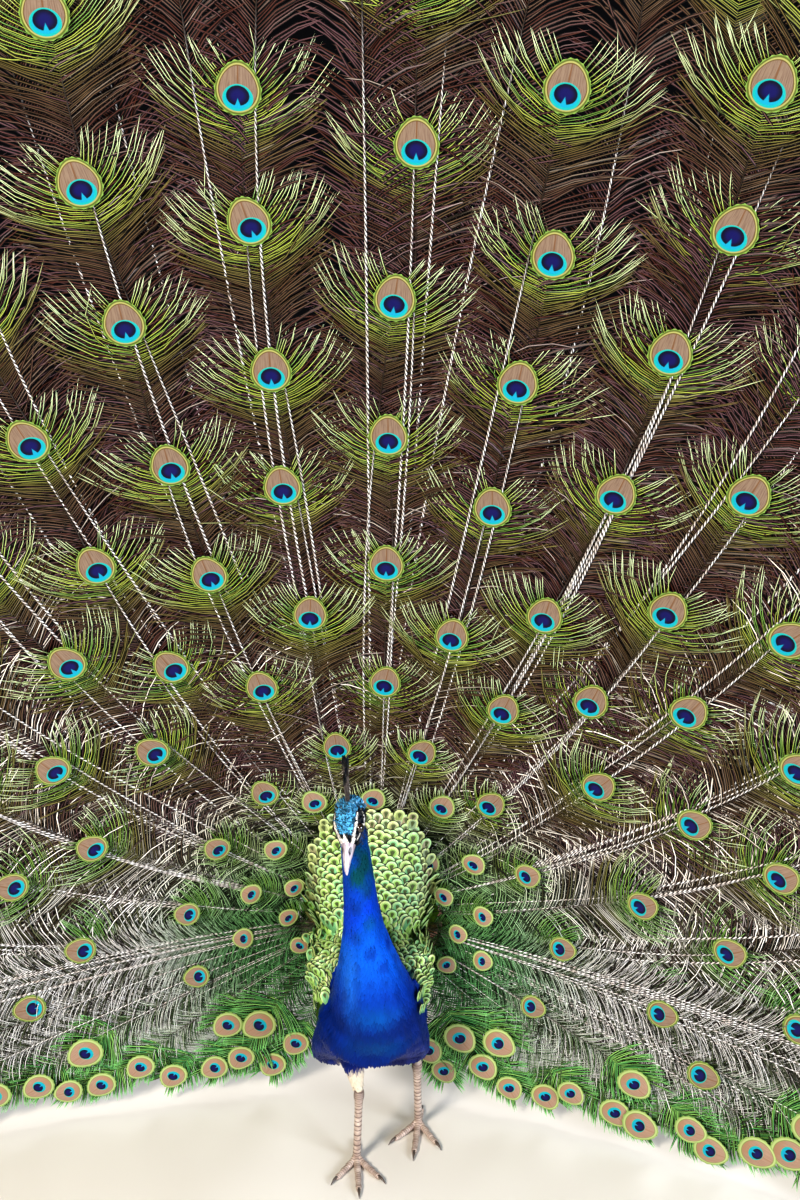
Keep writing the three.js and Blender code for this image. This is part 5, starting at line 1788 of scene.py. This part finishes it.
class PEACOCK_OT_skin(bpy.types.Operator):
    """One smooth skin over all the flesh"""

    bl_idname = "peacock.skin"
    bl_label = "Skin"

    def execute(self, context):
        mesh = skin_mesh(context.scene.peacock_sizes.coat_depth)
        box_unwrap(mesh)
        keep_values(mesh, "tint", plumage(read_points(mesh.vertices, "co")))
        mesh.name = "skin"
        mesh.materials.clear()
        mesh.materials.append(skin_material())
        finish_piece(link_object("skin", mesh), FLESH)
        return {"FINISHED"}


class PEACOCK_OT_neck(bpy.types.Operator):
    """Silky blue vanes of the neck and breast"""

    bl_idname = "peacock.neck"
    bl_label = "Neck and breast coat"

    def execute(self, context):
        def blue(points):
            _, y, z = (points - OFFSET).T
            far = head_parts(points)[3]
            front = step(-0.030, -0.050, y) * step(0.0025, 0.0005, past_cone(points))
            front = np.where(z < 0.24, step(-0.005, -0.025, y), front)
            throat = step(0.345, 0.360, z) * step(-0.03, -0.06, y)
            neck = np.maximum(front * step(0.38, 0.36, z), throat)
            neck = np.maximum(neck, step(0.40, 0.42, z))
            return neck * step(0.024, 0.030, far) * step(0.146, 0.152, z)

        def size(points):
            z, far = (points - OFFSET)[:, 2], head_parts(points)[3]
            return (0.75 + 0.35 * step(0.42, 0.28, z)) * (0.55 + 0.45 * step(0.03, 0.08, far))

        outline = ((0, 0.25), (0.35, 0.5), (0.75, 0.42), (1, 0.12))
        vane = vane_mesh("neck_vane", outline, 3, 0.12, -0.03)
        # a thin film over dark keratin: deep, silky blue with little gloss
        finish = vane_material("blue_film_vane", 0.45, 0.2, 0.16, shine=0.08)
        grow_coat(
            "neck_coat", ground_faces(bpy.data.objects["skin"], blue, size), vane, finish,
            "blue_plumage", Spacing=0.0030, Length=0.0120, Width=0.0046, Lift=0.035, Stray=0.035,
            Seed=context.scene.peacock_sizes.seed,
        )
        return {"FINISHED"}


class PEACOCK_OT_scales(bpy.types.Operator):
    """Scale feathers of the back and shoulders"""

    bl_idname = "peacock.scales"
    bl_label = "Back scales"

    def execute(self, context):
        outline = (
            (0, 0.18), (0.25, 0.36), (0.5, 0.49), (0.66, 0.5), (0.78, 0.47), (0.88, 0.39),
            (0.95, 0.27), (0.99, 0.13), (1, 0.04),
        )
        vane = vane_mesh("scale_vane", outline, 7, 0.20, 0.08, sag=0.03)
        # a gold-green film with a pale rim, an olive heart and a black edge, like coins; the edge
        # is partly a dark border and partly painted shadow of the gap round it
        finish = vane_material(
            "scale_film_vane", 0.42, 0.15, 0.25, rim=("#d8e89a", "#b6e29c", "#4c5a2a")
        )
        grow_coat(
            "scale_coat", scale_rows(), vane, finish, "scale_plumage", Length=0.0255,
            Width=0.0190, Lift=0.20, Stray=0.05, Seed=3,
        )
        return {"FINISHED"}


class PEACOCK_OT_wings(bpy.types.Operator):
    """Barred coverts and drooping flight feathers"""

    bl_idname = "peacock.wings"
    bl_label = "Wings"

    def execute(self, context):
        outline = ((0, 0.2), (0.3, 0.46), (0.7, 0.5), (0.9, 0.36), (1, 0.1))
        vane = vane_mesh("covert_vane", outline, 5, 0.18, -0.04)
        # dull buff keratin with ragged dark bars
        finish = vane_material("barred_covert_vane", 0.6, 0.0, barring="#2a1d16")
        grow_coat(
            "wing_coat", covert_rows(), vane, finish, "wing_plumage", Length=0.026,
            Width=0.0145, Lift=0.10, Stray=0.06, Seed=4,
        )
        # stiff chestnut keratin, matt
        rufous = stiff_material("rufous_vane", "#a8602c", "#7c3e1b", "#6a3418")
        for name, side in SIDES:
            primaries_piece(name, side, rufous)
        return {"FINISHED"}


class PEACOCK_OT_body(bpy.types.Operator):
    """Short plumage of belly, flanks and thighs, and the loose down under the tail"""

    bl_idname = "peacock.body"
    bl_label = "Body coat"

    def execute(self, context):
        skin = bpy.data.objects["skin"]

        def cover(points):
            _, y, z = (points - OFFSET).T
            behind = step(-0.052, -0.030, y) * step(0.34, 0.30, z)
            breast = step(-0.005, -0.025, y) * step(0.146, 0.152, z)
            return np.maximum(behind, step(0.205, 0.185, z)) * (1 - breast) * step(0.138, 0.144, z)

        def size(points):
            return 0.5 + 0.6 * step(0.15, 0.22, (points - OFFSET)[:, 2])

        def rear(points):
            _, y, z = (points - OFFSET).T
            return step(0.070, 0.095, y) * step(0.235, 0.25, z)

        outline = ((0, 0.22), (0.4, 0.5), (0.8, 0.4), (1, 0.15))
        vane = vane_mesh("body_vane", outline, 3, 0.22, 0.0, 0.05)
        # short matt plumage that hides the skin
        finish = vane_material("short_body_vane", 0.65, 0.0, shine=0.0)
        grow_coat(
            "body_coat", ground_faces(skin, cover, size), vane, finish, "thigh_plumage",
            Spacing=0.0045, Length=0.0145, Width=0.0080, Lift=0.10, Stray=0.10, Seed=5,
        )
        outline = ((0, 0.15), (0.15, 0.33), (0.3, 0.5), (0.7, 0.4), (0.85, 0.26), (1, 0.05))
        vane = vane_mesh("down_plume", outline, 3, 0.3, -0.25, 0.08)
        # loose barbs that scatter the light: soft and matt
        finish = vane_material("loose_down_plume", 0.8, 0.0)
        grow_coat(
            "undertail_down", ground_faces(skin, rear, lambda p: np.ones(len(p))), vane, finish,
            "down", Spacing=0.0058, Length=0.026, Width=0.009, Lift=0.38, Stray=0.30, Seed=6,
        )
        return {"FINISHED"}


class PEACOCK_OT_head(bpy.types.Operator):
    """Crown curls, face feathers, eyes, bill and crest"""

    bl_idname = "peacock.head"
    bl_label = "Head"

    def execute(self, context):
        skin = bpy.data.objects["skin"]

        def crown(points):
            return face_marks(points)[2]

        def face(points):
            white, _, over = face_marks(points)
            ahead, above, aside, far = head_parts(points)
            bare = np.hypot(ahead - EYE_AT[0], above - EYE_AT[1]) < 0.0068
            bare = bare & (np.abs(aside) > 0.008)
            on = step(0.037, 0.033, far) * step(0.031, 0.026, ahead)
            return on * (1 - over) * (1 - np.clip(white * 1.5, 0, 1)) * ~bare

        outline = ((0, 0.35), (0.2, 0.45), (0.4, 0.5), (0.75, 0.44), (1, 0.15))
        # the crown's curls glint like blue metal, and the face's short feathers lie flat and dull
        for name, cover, curl, gloss, metal, values in (
            ("crown", crown, 0.62, 0.26, 0.25,
             {"Spacing": 0.0019, "Length": 0.0046, "Width": 0.0030, "Lift": 0.45, "Stray": 0.32}),
            ("face", face, 0.0, 0.5, 0.2,
             {"Spacing": 0.0014, "Length": 0.0034, "Width": 0.0021, "Lift": 0.12, "Stray": 0.10}),
        ):
            grow_coat(
                f"{name}_coat", ground_faces(skin, cover, lambda p: np.ones(len(p))),
                vane_mesh(f"{name}_vane", outline, 3, 0.3, curl),
                vane_material(f"{name}_film_vane", gloss, metal, 0.85), "crown_plumage", Seed=8,
                **values,
            )
        horn, wet = bill_material(), eye_material()
        bill_piece("bill_upper", BILL_UPPER, 1.25, horn)
        bill_piece("bill_lower", BILL_LOWER, 1.0, horn)
        for name, side in SIDES:
            eye_ball(name, side, wet)
        crest_piece(*crest_materials())
        return {"FINISHED"}


class PEACOCK_OT_tail(bpy.types.Operator):
    """The stiff brown tail behind the train"""

    bl_idname = "peacock.tail"
    bl_label = "Tail"

    def execute(self, context):
        # stiff grey-brown keratin, mottled, with a pale shaft
        tail_piece(stiff_material("tail_vane", "#6e5b48", "#4d3e31", "#8b7660"))
        return {"FINISHED"}


class PEACOCK_OT_legs(bpy.types.Operator):
    """Scaled shanks, toes, spurs and claws"""

    bl_idname = "peacock.legs"
    bl_label = "Legs"

    def execute(self, context):
        finishes = leg_materials()
        for name, _ in SIDES:
            leg_piece(name, *finishes)
        return {"FINISHED"}


class PEACOCK_PT_panel(bpy.types.Panel):
    """The pieces of the peacock and their sizes"""

    bl_idname = "PEACOCK_PT_panel"
    bl_label = "Peacock"
    bl_space_type = "VIEW_3D"
    bl_region_type = "UI"
    bl_category = "Peacock"

    def draw(self, context):
        for group in (context.scene.peacock_sizes, context.scene.peacock_colours):
            for key in group.__annotations__:
                self.layout.prop(group, key)
        for operator in OPERATORS:
            self.layout.operator(operator.bl_idname)


OPERATORS = (
    PEACOCK_OT_stage, PEACOCK_OT_train, PEACOCK_OT_edge, PEACOCK_OT_skin, PEACOCK_OT_neck,
    PEACOCK_OT_scales, PEACOCK_OT_wings, PEACOCK_OT_body, PEACOCK_OT_head, PEACOCK_OT_tail,
    PEACOCK_OT_legs,
)
CLASSES = (PeacockSizes, PeacockColours, *OPERATORS, PEACOCK_PT_panel)


def register():
    for kind in CLASSES:
        bpy.utils.register_class(kind)
    bpy.types.Scene.peacock_sizes = PointerProperty(type=PeacockSizes)
    bpy.types.Scene.peacock_colours = PointerProperty(type=PeacockColours)


def unregister():
    del bpy.types.Scene.peacock_colours
    del bpy.types.Scene.peacock_sizes
    for kind in reversed(CLASSES):
        bpy.utils.unregister_class(kind)


def main():
    register()
    for operator in OPERATORS:
        group, name = operator.bl_idname.split(".")
        getattr(getattr(bpy.ops, group), name)()


if __name__ == "__main__":
    main()
